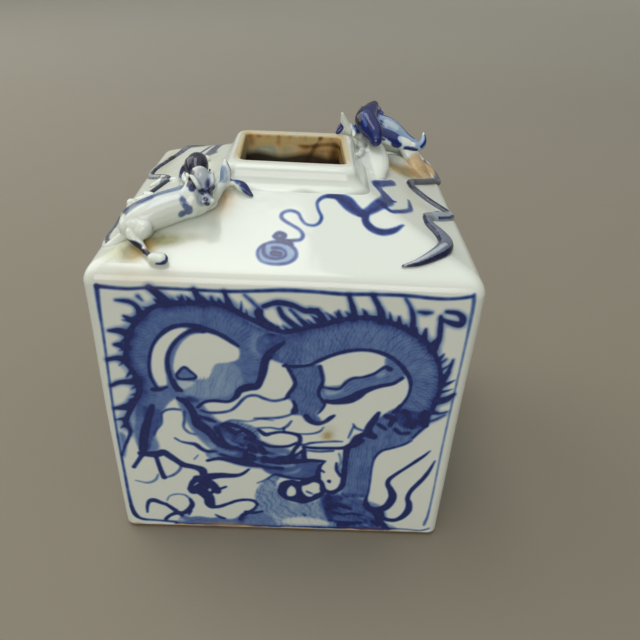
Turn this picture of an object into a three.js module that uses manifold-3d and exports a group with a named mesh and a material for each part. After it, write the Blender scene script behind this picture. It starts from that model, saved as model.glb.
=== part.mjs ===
// A square porcelain water pot for calligraphy, built the way the potter builds it: a base slab, four mitred
// wall slabs, four mitred shoulder slabs and a mouth collar, luted together, with two hand-modelled chi-dragons
// climbing the shoulder towards the mouth. Millimetres, +Z up, the origin under the middle of the base.
// +X is to the right and +Y away from whoever faces the painted front.

import * as THREE from 'three';
import * as BufferGeometryUtils from 'three/addons/utils/BufferGeometryUtils.js';
import Module from 'manifold-3d';

const wasm = await Module();
wasm.setup();

// Vessel sizes
const BASE_WIDTH = 83;           // across the foot, where the walls start
const SHOULDER_WIDTH = 85;       // across the edge where wall and shoulder planes meet
const SHOULDER_HEIGHT = 76.4;    // height of that edge
const RIM_HEIGHT = 91.6;         // top of the collar
const COLLAR_HEIGHT = 4;         // upright part of the collar, from the shoulder slope up to the rim
const MOUTH_WIDTH = 24;          // the mouth along X
const MOUTH_DEPTH = 23;          // the mouth along Y
const RIM_LAND = 3.2;            // wall of the collar at the rim
const COLLAR_DRAFT = 1.2;        // how far the collar spreads from the rim down to the shoulder
const WALL = 4.5;                // thickness of the wall and shoulder slabs
const BASE_SLAB = 5;             // thickness of the base slab
const BODY_CORNER = 2.6;         // plan radius of the upright corners
const COLLAR_CORNER = 3;         // plan radius of the collar's corners
const CAVITY_CORNER = 3;         // plan radius inside the upright corners
const MOUTH_CORNER = 1.4;        // plan radius of the mouth's corners
const SHOULDER_ROUND = 4.5;      // rounding between wall and shoulder
const COLLAR_FILLET = 2.4;       // soft hollow where the collar rises from the shoulder
const RIM_ROUND = 1.4;           // rounding of the collar's top edge
const FOOT_BEVEL = 1.2;          // unglazed bevel round the foot
const SHOULDER_BAND = 4.4;       // upright edge of the shoulder slabs, below the shoulder edge
const COLLAR_BLOCK = 5.1;        // height of the collar's block, from its seat in the shoulder up to the rim
const SEAM = 0.3;                // slip seam in a mitre, and under an applied piece
const POINT_GRID = 0.01;         // spacing of the grid that every point of the model lies on

// Dragon sizes
const TRUNK_RADIUS = 3.2;
const NECK_RADIUS = 2.3;
const LIMB_RADIUS = 1.9;
const PAW_RADIUS = 1.7;
const CLAW_RADIUS = 0.75;
const CLAW_SPREAD = 0.6;         // angle between neighbouring claws, in radians
const TAIL_RADIUS = 1.35;
const CREST_RADIUS = 0.8;
const SKULL_RADIUS = 2.9;
const BROW_RADIUS = 0.9;
const LOCK_RADIUS = 1.25;
const TAIL_INSET = 2.2;          // least distance from the tail's middle to the shoulder edge
const POSE_UNIT = 1;             // length of one unit in the poses below

// The two dragons are modelled freely by hand, so they differ, and each pose is given as the left dragon lies:
// how far the middle of the skull is above the rim, how far the snout drops from there, how far the trunk is
// arched up off the shoulder, how high the claw on the rim stands, where the locks of the mane bend and end (out
// from the collar's corner to the side and to the front, and up from the rim) with their fullness, and the bends
// of the tail and of the crescent that ends it (in from the tail's inset and back from the front edge).
const LEFT_POSE = {
    headRise: 2.3,
    snoutDrop: 3.8,
    stance: 0,
    clawRise: 0.9,
    locks: [
        { bend: [5.8, -0.4, 0.6], tip: [7.6, -3.6, -3.4], fullness: 1 },
        { bend: [4.2, -0.8, 1], tip: [4.4, -4.8, -2.2], fullness: 1 },
        { bend: [6.7, 1.7, 0.3], tip: [9.4, 0.2, -3.6], fullness: 1 },
    ],
    tail: [
        [1.6, 11], [0, 15.6], [0, 22], [0.4, 30], [4.2, 38], [7.2, 43.4],
        [7.4, 46.6], [4.8, 50.6], [1, 54.8], [0, 58.4], [0.8, 62.4], [4.2, 67.4],
    ],
    crescent: [[6, 70], [7.6, 73.4], [11.4, 77.2], [16.4, 79.6], [21.2, 80.4]],
};
const RIGHT_POSE = {
    headRise: 4.6,
    snoutDrop: 2.8,
    stance: 2.6,
    clawRise: 4.2,
    locks: [
        { bend: [11.6, 8, 2], tip: [21, 14.4, -3.4], fullness: 1.9 },
        { bend: [10.5, 4, -0.6], tip: [16.5, 6.8, -3.8], fullness: 1.5 },
        { bend: [6.7, 1.7, 2.3], tip: [9.4, 0.2, -1.2], fullness: 1.1 },
    ],
    tail: [
        [1.6, 11], [0, 15], [0, 18.6], [3.2, 26], [7.8, 33.6], [8.6, 36.8], [7.6, 41],
        [3.4, 45.4], [0.4, 48], [0.7, 50.2], [3.8, 54.6], [6.8, 58.2],
    ],
    crescent: [[6.8, 62.2], [4.8, 67.6], [5.2, 73.4], [8.6, 79], [14.4, 81]],
};

const baseHalf = BASE_WIDTH / 2;
const edgeHalf = SHOULDER_WIDTH / 2;
const rimHalf = MOUTH_WIDTH / 2 + RIM_LAND;
const collarHalf = rimHalf + COLLAR_DRAFT;
const rise = (RIM_HEIGHT - COLLAR_HEIGHT - SHOULDER_HEIGHT) / (edgeHalf - collarHalf);
const SHOULDER_PITCH = Math.atan(rise);
const slabRise = WALL / Math.cos(SHOULDER_PITCH);
const wallTop = SHOULDER_HEIGHT - SHOULDER_BAND;
const collarSeat = RIM_HEIGHT - COLLAR_BLOCK;
const slopeZ = (half) => SHOULDER_HEIGHT + rise * (edgeHalf - half);
const wallHalf = (z) => baseHalf + (edgeHalf - baseHalf) * z / SHOULDER_HEIGHT;

const glazedWhite = { color: 0xd9dccb, roughness: 0.18, metalness: 0 };
const glazedBlue = { color: 0x5f6f96, roughness: 0.16, metalness: 0 };
const darkBlue = { color: 0x27305c, roughness: 0.16, metalness: 0 };
const biscuit = { color: 0xb79a6c, roughness: 0.8, metalness: 0 };

// A closed three.js geometry becomes a solid that can be cut and joined
function solidOf(geometry) {
    const bare = geometry.clone();
    bare.deleteAttribute('normal');
    bare.deleteAttribute('uv');
    const merged = BufferGeometryUtils.mergeVertices(bare, 1e-5);
    return new wasm.Manifold(new wasm.Mesh({
        numProp: 3,
        vertProperties: new Float32Array(merged.attributes.position.array),
        triVerts: new Uint32Array(merged.index.array),
    }));
}

// The largest single body of a solid: a cut can leave slivers beside it
function largest(solid) {
    const bodies = solid.decompose();
    bodies.sort((a, b) => b.volume() - a.volume());
    return bodies[0];
}

// A solid as a mesh, with its points on a fine grid, so that the slivers a cut leaves close up cleanly
function meshOf(name, solid, finish) {
    const { vertProperties, triVerts } = largest(solid).getMesh();
    const onGrid = Float32Array.from(vertProperties, (value) => Math.round(value / POINT_GRID) * POINT_GRID);
    const cut = new THREE.BufferGeometry();
    cut.setAttribute('position', new THREE.BufferAttribute(onGrid, 3));
    cut.setIndex([...triVerts]);
    const geometry = BufferGeometryUtils.mergeVertices(cut, POINT_GRID / 4);
    const kept = [];
    for (let i = 0; i < geometry.index.count; i += 3) {
        const [a, b, c] = geometry.index.array.slice(i, i + 3);
        if (a !== b && b !== c && c !== a) {
            kept.push(a, b, c);
        }
    }
    geometry.setIndex(kept);
    geometry.computeVertexNormals();
    const mesh = new THREE.Mesh(geometry, new THREE.MeshStandardMaterial(finish));
    mesh.name = name;
    return mesh;
}

// Rings of points, all with the same count, skinned into one closed geometry. A ring of one point is a pole.
function skin(rings) {
    const positions = [];
    const starts = [];
    for (const ring of rings) {
        starts.push(positions.length / 3);
        for (const point of ring) {
            positions.push(point.x, point.y, point.z);
        }
    }
    const index = [];
    for (let i = 0; i + 1 < rings.length; i += 1) {
        const count = Math.max(rings[i].length, rings[i + 1].length);
        for (let j = 0; j < count; j += 1) {
            const next = (j + 1) % count;
            const low = rings[i].length === 1 ? [starts[i], starts[i]] : [starts[i] + j, starts[i] + next];
            const high = rings[i + 1].length === 1
                ? [starts[i + 1], starts[i + 1]]
                : [starts[i + 1] + j, starts[i + 1] + next];
            if (low[0] !== low[1]) {
                index.push(low[0], low[1], high[1]);
            }
            if (high[0] !== high[1]) {
                index.push(low[0], high[1], high[0]);
            }
        }
    }
    const geometry = new THREE.BufferGeometry();
    geometry.setAttribute('position', new THREE.Float32BufferAttribute(positions, 3));
    geometry.setIndex(index);
    return geometry;
}

// A square ring with round corners, anticlockwise seen from above
function squareRing(half, corner, z, steps = 4) {
    const ring = [];
    for (let quarter = 0; quarter < 4; quarter += 1) {
        const turn = quarter * Math.PI / 2;
        for (let step = 0; step <= steps; step += 1) {
            const angle = step / steps * Math.PI / 2;
            const x = half - corner + corner * Math.cos(angle);
            const y = half - corner + corner * Math.sin(angle);
            ring.push(new THREE.Vector3(
                x * Math.cos(turn) - y * Math.sin(turn),
                x * Math.sin(turn) + y * Math.cos(turn),
                z,
            ));
        }
    }
    return ring;
}

// A profile of corners, each rounded by its own radius: entries are [half, z, radius, steps]
function rounded(corners) {
    const points = [];
    corners.forEach(([half, z, radius = 0, steps = 4], i) => {
        const here = new THREE.Vector2(half, z);
        if (radius === 0) {
            points.push(here);
            return;
        }
        const back = new THREE.Vector2(...corners[i - 1].slice(0, 2)).sub(here).normalize();
        const ahead = new THREE.Vector2(...corners[i + 1].slice(0, 2)).sub(here).normalize();
        const halfAngle = Math.acos(back.dot(ahead)) / 2;
        const reach = radius / Math.tan(halfAngle);
        const inward = back.clone().add(ahead).normalize();
        const middle = here.clone().addScaledVector(inward, radius / Math.sin(halfAngle));
        const from = here.clone().addScaledVector(back, reach).sub(middle);
        const to = here.clone().addScaledVector(ahead, reach).sub(middle);
        const start = from.angle();
        let sweepAngle = to.angle() - start;
        sweepAngle -= 2 * Math.PI * Math.round(sweepAngle / (2 * Math.PI));
        for (let step = 0; step <= steps; step += 1) {
            const angle = start + sweepAngle * step / steps;
            points.push(new THREE.Vector2(Math.cos(angle), Math.sin(angle)).multiplyScalar(radius).add(middle));
        }
    });
    return points;
}

// Plan corner radius of the outside at a given half width: crisp at the collar, softer at the walls
function outerCorner(half) {
    const share = (half - rimHalf) / (edgeHalf - rimHalf);
    return COLLAR_CORNER + (BODY_CORNER - COLLAR_CORNER) * THREE.MathUtils.clamp(share, 0, 1);
}

function loft(profile, cornerOf) {
    const first = profile[0];
    const last = profile[profile.length - 1];
    return skin([
        [new THREE.Vector3(0, 0, first.y)],
        ...profile.map((point) => squareRing(point.x, cornerOf(point.x), point.y)),
        [new THREE.Vector3(0, 0, last.y)],
    ]);
}

const outerProfile = rounded([
    [baseHalf - FOOT_BEVEL, 0],
    [wallHalf(FOOT_BEVEL), FOOT_BEVEL],
    [edgeHalf, SHOULDER_HEIGHT, SHOULDER_ROUND, 6],
    [collarHalf, slopeZ(collarHalf), COLLAR_FILLET],
    [rimHalf, RIM_HEIGHT, RIM_ROUND],
    [MOUTH_WIDTH / 2, RIM_HEIGHT],
]);

function outerSolid(grow) {
    const profile = outerProfile.map((point) => new THREE.Vector2(point.x + grow, point.y + grow));
    return solidOf(loft(profile, outerCorner));
}

function cavitySolid() {
    const crown = (Math.min(MOUTH_WIDTH, MOUTH_DEPTH) - WALL) / 2;
    const innerHalf = edgeHalf - WALL;
    return solidOf(loft(rounded([
        [wallHalf(BASE_SLAB) - WALL, BASE_SLAB],
        [innerHalf, slopeZ(innerHalf) - slabRise],
        [crown, slopeZ(crown) - slabRise],
    ]), () => CAVITY_CORNER));
}

function mouthSolid() {
    const halfX = MOUTH_WIDTH / 2;
    const halfY = MOUTH_DEPTH / 2;
    const outline = new THREE.Shape();
    outline.moveTo(halfX, MOUTH_CORNER - halfY);
    outline.absarc(halfX - MOUTH_CORNER, halfY - MOUTH_CORNER, MOUTH_CORNER, 0, Math.PI / 2);
    outline.absarc(MOUTH_CORNER - halfX, halfY - MOUTH_CORNER, MOUTH_CORNER, Math.PI / 2, Math.PI);
    outline.absarc(MOUTH_CORNER - halfX, MOUTH_CORNER - halfY, MOUTH_CORNER, Math.PI, 1.5 * Math.PI);
    outline.absarc(halfX - MOUTH_CORNER, MOUTH_CORNER - halfY, MOUTH_CORNER, 1.5 * Math.PI, 2 * Math.PI);
    const extent = { depth: RIM_HEIGHT, bevelEnabled: false, curveSegments: 3 };
    const bore = new THREE.ExtrudeGeometry(outline, extent);
    bore.translate(0, 0, slopeZ(halfX) - 2 * slabRise);
    return solidOf(bore);
}

// A slice of space between two heights
function layer(low, high) {
    const size = 2 * SHOULDER_WIDTH;
    const box = new THREE.BoxGeometry(size, size, high - low);
    box.translate(0, 0, (low + high) / 2);
    return solidOf(box);
}

// A wedge of space that holds one side of the square, mitred at the corners with half a seam to each side
function wedge(turn) {
    const reach = SHOULDER_WIDTH;
    const apex = SEAM / 2 * Math.SQRT2;
    const outline = new THREE.Shape([
        new THREE.Vector2(0, -apex),
        new THREE.Vector2(-reach, -reach - apex),
        new THREE.Vector2(reach, -reach - apex),
    ]);
    const prism = new THREE.ExtrudeGeometry(outline, { depth: 2 * RIM_HEIGHT, bevelEnabled: false });
    prism.translate(0, 0, -RIM_HEIGHT / 2);
    prism.rotateZ(turn);
    return solidOf(prism);
}

function buildVessel() {
    const vessel = new THREE.Group();
    const shell = outerSolid(0).subtract(cavitySolid()).subtract(mouthSolid());
    const sides = [['front', 0], ['right', Math.PI / 2], ['back', Math.PI], ['left', -Math.PI / 2]];
    vessel.add(meshOf('base_slab', shell.intersect(layer(0, BASE_SLAB)), biscuit));
    const walls = shell.intersect(layer(BASE_SLAB, wallTop));
    const shoulders = shell.intersect(layer(wallTop, collarSeat));
    for (const [side, turn] of sides) {
        vessel.add(meshOf(`${side}_wall`, walls.intersect(wedge(turn)), glazedWhite));
        vessel.add(meshOf(`${side}_shoulder`, shoulders.intersect(wedge(turn)), glazedWhite));
    }
    vessel.add(meshOf('mouth_collar', shell.intersect(layer(collarSeat, 2 * RIM_HEIGHT)), glazedWhite));
    return vessel;
}

// Which square ring of the shoulder passes through a plan point
function ringThrough(x, y) {
    const larger = Math.max(Math.abs(x), Math.abs(y));
    let low = larger;
    let high = larger * Math.SQRT2;
    for (let i = 0; i < 30; i += 1) {
        const half = (low + high) / 2;
        const corner = outerCorner(half);
        const outX = Math.max(Math.abs(x) - half + corner, 0);
        const outY = Math.max(Math.abs(y) - half + corner, 0);
        if (Math.hypot(outX, outY) > corner) {
            low = half;
        } else {
            high = half;
        }
    }
    return low;
}

// Height of the outside over a plan point, from the profile between the shoulder edge and the rim
function surfaceZ(x, y) {
    const half = ringThrough(x, y);
    for (let i = outerProfile.length - 1; i > 0; i -= 1) {
        const inner = outerProfile[i];
        const outer = outerProfile[i - 1];
        if (half <= outer.x) {
            const share = THREE.MathUtils.clamp((half - inner.x) / (outer.x - inner.x), 0, 1);
            return inner.y + share * (outer.y - inner.y);
        }
    }
    return SHOULDER_HEIGHT;
}

// A point over the shoulder, measured in from the left and front shoulder edges
function fromEdge(inX, inY, lift, inset = 0) {
    const x = -edgeHalf + inset + inX * POSE_UNIT;
    const y = -edgeHalf + inY * POSE_UNIT;
    return new THREE.Vector3(x, y, surfaceZ(x, y) + lift * POSE_UNIT);
}

// The same, measured from the collar's front left corner: out to the left and out to the front
function fromCollar(outX, outY, lift) {
    const x = -collarHalf - outX * POSE_UNIT;
    const y = -collarHalf - outY * POSE_UNIT;
    return new THREE.Vector3(x, y, surfaceZ(x, y) + lift * POSE_UNIT);
}

// A point near the head, measured from the collar's front left corner and up from the rim
function fromRim(outX, outY, up) {
    return new THREE.Vector3(
        -collarHalf - outX * POSE_UNIT,
        -collarHalf - outY * POSE_UNIT,
        RIM_HEIGHT + up * POSE_UNIT,
    );
}

// A limb, lock or tail: a tube of changing radius along a smooth curve, with round ends. grow swells it evenly,
// flat makes its section lower than it is wide, and up is the direction in which it is measured low.
function limb(points, radii, { sides = 10, steps = 10, flat = 1, up = [0, 0, 1], tension = 0.5 } = {}) {
    return (grow) => {
        const curve = new THREE.CatmullRomCurve3(points, false, 'catmullrom', tension);
        const normal = new THREE.Vector3(...up);
        const rings = [];
        const addRing = (t, shift, scale) => {
            const centre = curve.getPoint(t);
            const tangent = curve.getTangent(t);
            normal.addScaledVector(tangent, -normal.dot(tangent)).normalize();
            const side = new THREE.Vector3().crossVectors(tangent, normal);
            const place = t * (radii.length - 1);
            const low = Math.min(Math.floor(place), radii.length - 2);
            const radius = THREE.MathUtils.lerp(radii[low], radii[low + 1], place - low) + grow;
            centre.addScaledVector(tangent, shift * radius * 0.8);
            if (scale === 0) {
                rings.push([centre]);
                return;
            }
            const ring = [];
            for (let i = 0; i < sides; i += 1) {
                const angle = -i / sides * 2 * Math.PI;
                const wide = radius * scale * Math.cos(angle);
                const tall = (radius * flat + grow * (1 - flat)) * scale * Math.sin(angle);
                ring.push(centre.clone().addScaledVector(side, wide).addScaledVector(normal, tall));
            }
            rings.push(ring);
        };
        addRing(0, -1, 0);
        addRing(0, -0.75, 0.66);
        for (let i = 0; i <= steps; i += 1) {
            addRing(i / steps, 0, 1);
        }
        addRing(1, 0.75, 0.66);
        addRing(1, 1, 0);
        return solidOf(skin(rings));
    };
}

// Several limbs fused into one piece
const fused = (...limbs) => (grow) => limbs.map((one) => one(grow)).reduce((all, one) => all.add(one));

// Three claws that spread from a paw along a heading, in radians anticlockwise from +X
function claws(paw, heading, length, drop) {
    return [-CLAW_SPREAD, 0, CLAW_SPREAD].map((spread) => {
        const angle = heading + spread;
        const reach = new THREE.Vector3(Math.cos(angle), Math.sin(angle), 0).multiplyScalar(length * POSE_UNIT);
        const root = reach.clone().multiplyScalar(0.3);
        const knuckle = reach.clone().multiplyScalar(0.65);
        const tip = reach.clone();
        tip.z = -drop * POSE_UNIT;
        return limb(
            [root.add(paw), knuckle.add(paw), tip.add(paw)],
            [CLAW_RADIUS * 1.3, CLAW_RADIUS * 1.2, CLAW_RADIUS * 0.5],
            { sides: 5, steps: 2 },
        );
    });
}

function trunkOf({ stance }) {
    const spine = [
        fromEdge(8.2, 7.6, 1.8 + 0.7 * stance),
        fromEdge(11.4, 8.8, 2.6 + stance),
        fromEdge(15.6, 11.2, 2.9 + stance),
        fromEdge(19.4, 13.8, 3.1 + stance),
        fromCollar(3.4, 9.6, 3.4 + 0.6 * stance),
        fromCollar(2.6, 6.8, 4.6 + 0.3 * stance),
    ];
    const ridge = new THREE.Vector3(-0.28, 0.38, 0.84).multiplyScalar(TRUNK_RADIUS);
    const crest = spine.map((point) => point.clone().add(ridge));
    const girths = [0.72, 1, 1.05, 1, 0.95, 0.8].map((share) => share * TRUNK_RADIUS);
    const heights = [0.5, 1, 1, 1, 1, 0.6].map((share) => share * CREST_RADIUS);
    return fused(
        limb(spine, girths, { sides: 12, steps: 12 }),
        limb(crest, heights, { sides: 5, steps: 10 }),
    );
}

function neckAndHeadOf({ headRise, snoutDrop, stance }) {
    const neck = limb(
        [fromCollar(2.6, 7.2, 5.2 + 0.3 * stance), fromRim(3.4, 6.4, 0.6), fromRim(3.8, 6.6, headRise)],
        [NECK_RADIUS * 1.15, NECK_RADIUS, NECK_RADIUS],
        { sides: 8, steps: 5, up: [0, 1, 0] },
    );
    const skull = limb(
        [fromRim(4.0, 4.8, headRise), fromRim(3.9, 7.2, headRise - 0.3), fromRim(3.3, 9.6, headRise - 0.45 * snoutDrop)],
        [0.86, 1, 0.82].map((share) => share * SKULL_RADIUS),
        { sides: 10, steps: 5 },
    );
    const snout = limb(
        [fromRim(3.3, 9.6, headRise - 0.5 * snoutDrop), fromRim(2.6, 12.2, headRise - snoutDrop)],
        [0.66, 0.5].map((share) => share * SKULL_RADIUS),
        { sides: 8, steps: 3, flat: 0.85 },
    );
    const brows = [-1, 1].map((side) => limb(
        [
            fromRim(3.2 + 1.9 * side, 9.9, headRise + 0.2),
            fromRim(3.6 + 2.6 * side, 7.6, headRise + 1.5),
            fromRim(3.8 + 2.5 * side, 4.6, headRise + 1.6),
        ],
        [0.6, 1, 0.55].map((share) => share * BROW_RADIUS),
        { sides: 6, steps: 4 },
    ));
    return fused(neck, skull, snout, ...brows);
}

function maneOf({ headRise, locks }) {
    const crown = fromRim(4.0, 3.2, headRise - 0.4);
    return fused(...locks.map(({ bend, tip, fullness }) => limb(
        [crown, fromRim(...bend), fromRim(...tip)],
        [1.5, 0.4 + 0.8 * fullness, 0.5].map((share) => share * LOCK_RADIUS),
        { sides: 8, steps: 6 },
    )));
}

// The foreleg that reaches along the front of the collar, one toe up on the rim and one down beside it
function innerForelegOf({ stance, clawRise }) {
    const wrist = fromCollar(-1.2, 3.4, 2.6);
    const arm = limb(
        [fromCollar(2.8, 8.6, 3 + 0.4 * stance), fromCollar(-0.6, 6.4, 3.2 + 0.3 * stance), wrist],
        [1.1, 0.9, 0.8].map((share) => share * LIMB_RADIUS),
        { sides: 8, steps: 6 },
    );
    const toes = [
        [fromRim(-1.7, 1.9, -1), fromRim(-1.8, 0.5, clawRise), [1, 0, 0]],
        [fromCollar(-4.6, 3.2, 1.4), fromCollar(-7.7, 3.9, 0.8), [0, 0, 1]],
        [fromCollar(-3.2, 5.6, 1.2), fromCollar(-4.4, 7.4, 0.7), [0, 0, 1]],
    ];
    return fused(arm, ...toes.map(([knuckle, tip, up]) => limb(
        [wrist, knuckle, tip],
        [1.7, 1.5, 0.65].map((share) => share * CLAW_RADIUS),
        { sides: 6, steps: 5, up },
    )));
}

// The foreleg that reaches back along the left side of the collar
function outerForelegOf({ stance }) {
    const paw = fromCollar(6.2, -28.5, 1.2);
    const arm = limb(
        [
            fromCollar(3.4, 7.4, 3.2 + 0.4 * stance),
            fromCollar(5.8, -1.6, 2.4 + 0.3 * stance),
            fromCollar(4.4, -13, 1.6),
            fromCollar(5, -22.5, 1.4),
            paw,
        ],
        [1.35, 1.25, 1.2, 0.95, 0.9].map((share) => share * LIMB_RADIUS),
        { sides: 8, steps: 12, flat: 0.85 },
    );
    return fused(arm, ...claws(paw, THREE.MathUtils.degToRad(118), 4.8, 1.5));
}

// The hind leg at the front: knee out over the corner, paw flat on the front shoulder
function innerHindlegOf({ stance }) {
    const paw = fromEdge(15.2, 4.4, 1.2);
    const hip = fromEdge(10.8, 8.4, 2.4 + 0.8 * stance);
    const knee = fromEdge(10.6, 4.8, 2.6 + 0.4 * stance);
    const leg = limb(
        [hip, knee, fromEdge(12.6, 3.6, 1.6), paw],
        [1.25 * LIMB_RADIUS, 1.1 * LIMB_RADIUS, 0.8 * LIMB_RADIUS, PAW_RADIUS],
        { sides: 8, steps: 8 },
    );
    return fused(leg, ...claws(paw, THREE.MathUtils.degToRad(4), 4.2, 0.9));
}

// The hind leg at the side: knee raised beside the trunk, paw on the left shoulder
function outerHindlegOf({ stance }) {
    const paw = fromEdge(8.4, 24.6, 1.2);
    const hip = fromEdge(9.8, 9, 2.6 + 0.8 * stance);
    const knee = fromEdge(6.6, 16.8, 3.4 + 0.4 * stance);
    const leg = limb(
        [hip, knee, fromEdge(7.4, 21.4, 2.2), paw],
        [1.3 * LIMB_RADIUS, 1.25 * LIMB_RADIUS, 0.85 * LIMB_RADIUS, 0.9 * PAW_RADIUS],
        { sides: 8, steps: 8 },
    );
    return fused(leg, ...claws(paw, THREE.MathUtils.degToRad(70), 3.4, 1));
}

// The tail leaves the rump and zigzags back across the side shoulder as a flattened strip of clay
function tailOf({ tail, stance }) {
    const root = fromEdge(8, 8.4, 1.6 + 0.7 * stance);
    const path = [root, ...tail.map(([inX, inY]) => fromEdge(inX, inY, 0.7, TAIL_INSET))];
    const radii = path.map((point, i) => (i < 3 || i > path.length - 3 ? 1 : 0.9) * TAIL_RADIUS);
    return limb(path, radii, { sides: 6, steps: 34, flat: 0.75, up: [-rise, 0, 1] });
}

// and ends in a raised, pointed crescent
function tailTipOf({ crescent }) {
    const path = crescent.map(([inX, inY]) => fromEdge(inX, inY, 0.9, TAIL_INSET));
    const radii = [0.9, 1.2, 1.3, 1.1, 0.35].map((share) => share * TAIL_RADIUS);
    return limb(path, radii, { sides: 8, steps: 12, flat: 0.9, up: [-rise, 0, 1] });
}

// Each applied piece is trimmed by the shoulder and by the pieces that were set before it
function buildDragon(side, pose) {
    const dragon = new THREE.Group();
    const pieces = [
        ['trunk', trunkOf(pose), glazedWhite],
        ['head', neckAndHeadOf(pose), glazedBlue],
        ['mane', maneOf(pose), darkBlue],
        ['foreleg_inner', innerForelegOf(pose), glazedBlue],
        ['foreleg_outer', outerForelegOf(pose), glazedWhite],
        ['hindleg_inner', innerHindlegOf(pose), glazedWhite],
        ['hindleg_outer', outerHindlegOf(pose), glazedWhite],
        ['tail', tailOf(pose), glazedBlue],
        ['tail_tip', tailTipOf(pose), darkBlue],
    ];
    let keepOut = outerSolid(SEAM);
    for (const [name, form, finish] of pieces) {
        dragon.add(meshOf(`${side}_dragon_${name}`, form(0).subtract(keepOut), finish));
        keepOut = keepOut.add(form(SEAM));
    }
    return dragon;
}

const waterPot = new THREE.Group();
waterPot.name = 'calligraphy_water_pot';
waterPot.add(buildVessel());
waterPot.add(buildDragon('left', LEFT_POSE));

// The right dragon climbs the opposite corner, so it is set as the left one is and turned half round the mouth
const rightDragon = buildDragon('right', RIGHT_POSE);
rightDragon.rotation.z = Math.PI;
waterPot.add(rightDragon);

export default waterPot;
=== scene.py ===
# A square porcelain water pot, painted in cobalt blue under a clear glaze, with two applied chi-dragons.
# Lengths are in millimetres until they go into a mesh. +X is right, +Y away from the viewer, +Z up.
import math

import bpy
import numpy as np
from mathutils import Matrix, Vector


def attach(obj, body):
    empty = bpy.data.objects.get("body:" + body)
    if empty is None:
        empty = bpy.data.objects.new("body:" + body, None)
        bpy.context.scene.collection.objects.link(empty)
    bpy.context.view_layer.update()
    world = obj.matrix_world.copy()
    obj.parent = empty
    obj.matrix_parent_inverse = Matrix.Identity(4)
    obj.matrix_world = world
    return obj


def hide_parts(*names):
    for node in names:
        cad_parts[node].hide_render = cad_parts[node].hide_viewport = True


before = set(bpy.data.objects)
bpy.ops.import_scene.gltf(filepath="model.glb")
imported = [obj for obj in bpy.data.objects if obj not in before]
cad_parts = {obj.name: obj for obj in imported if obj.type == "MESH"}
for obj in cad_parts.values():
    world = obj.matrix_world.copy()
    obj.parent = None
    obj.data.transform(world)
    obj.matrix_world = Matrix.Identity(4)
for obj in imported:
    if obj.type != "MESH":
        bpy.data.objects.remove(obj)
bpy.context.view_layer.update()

MM = 0.001
SIDES = ["front", "right", "back", "left"]

# Vessel sizes, as in the CAD model
BASE_WIDTH = 83.0
SHOULDER_WIDTH = 85.0
SHOULDER_HEIGHT = 76.4
RIM_HEIGHT = 91.6
COLLAR_HEIGHT = 4.0
MOUTH_WIDTH = 24.0
MOUTH_DEPTH = 23.0
RIM_LAND = 3.2
COLLAR_DRAFT = 1.2
WALL = 4.5
BASE_SLAB = 5.0
BODY_CORNER = 2.6
COLLAR_CORNER = 3.0
MOUTH_CORNER = 1.4
CAVITY_CORNER = 0.5
SHOULDER_ROUND = 4.5
COLLAR_FILLET = 5.0         # softer than the CAD's, as thick glaze leaves it
RIM_ROUND = 2.2
LIP_ROUND = 0.7
FOOT_BEVEL = 1.2
WOBBLE = 0.16               # how far the hand-luted slabs stray from true
SETTLED = 14                # the height from which they stray freely

# Fineness of the meshes
ARC_STEPS = 32              # steps in each rounded corner of the profile
FRONT_STEP, WALL_STEP = 0.27, 0.36
SLOPE_STEP, COLLAR_STEP, FOOT_STEP = 0.3, 0.16, 0.3
SLOPE_COLUMNS = [280, 220, 280, 220]
COLLAR_COLUMNS, FOOT_COLUMNS = 96, 60
LIP_RINGS, BORE_RINGS = 8, 26
BORE_END = 2.2              # how far above the underside the hole's fine rings end

# Painting
BRUSH = 0.86                # share of a stroke's written width that it is laid with
PIXEL = 0.15                # fineness of the brushwork
BLEED = 0.16                # soft edge of a cobalt line under the glaze
DAB = 0.12                  # step between the dabs of a stroke
FAINT = 0.79                # how much of the first layer's strength the firing leaves

# The dragons' clay
VOXEL = 0.24                # fineness of the modelled clay
SLIP = 0.35                 # how deep a luted piece is sunk into the slip
TUBE_SIDES = 18

# Camera, fitted to the pot's corners in the photograph
CAMERA_PLACE = (5.72, -161.01, 139.16)
CAMERA_PITCH = 31.273
CAMERA_YAW = 0.993
CAMERA_ROLL = -2.519
LENS = 36.56

base_half = BASE_WIDTH / 2
edge_half = SHOULDER_WIDTH / 2
rim_half = MOUTH_WIDTH / 2 + RIM_LAND
collar_half = rim_half + COLLAR_DRAFT
rise = (RIM_HEIGHT - COLLAR_HEIGHT - SHOULDER_HEIGHT) / (edge_half - collar_half)
slab_rise = WALL / math.cos(math.atan(rise))


def slope_z(half):
    return SHOULDER_HEIGHT + rise * (edge_half - half)


def wall_half(z):
    return base_half + (edge_half - base_half) * z / SHOULDER_HEIGHT


def outer_corner(half):
    share = np.clip((half - rim_half) / (edge_half - rim_half), 0, 1)
    return COLLAR_CORNER + (BODY_CORNER - COLLAR_CORNER) * share


def place_camera():
    pitch, yaw, roll = (math.radians(a) for a in (CAMERA_PITCH, CAMERA_YAW, CAMERA_ROLL))
    ahead = Vector((math.sin(yaw) * math.cos(pitch), math.cos(yaw) * math.cos(pitch), -math.sin(pitch)))
    right = Vector((math.cos(yaw), -math.sin(yaw), 0))
    down = ahead.cross(right)
    across = right * math.cos(roll) + down * math.sin(roll)
    up = right * math.sin(roll) - down * math.cos(roll)
    camera = bpy.data.objects.new("camera", bpy.data.cameras.new("camera"))
    bpy.context.scene.collection.objects.link(camera)
    camera.data.lens = LENS
    camera.data.sensor_width = 36
    camera.data.clip_start = 0.01
    turn = Matrix((across, up, -ahead)).transposed().to_4x4()
    camera.matrix_world = Matrix.Translation(Vector(CAMERA_PLACE) * MM) @ turn
    bpy.context.scene.camera = camera


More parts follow.
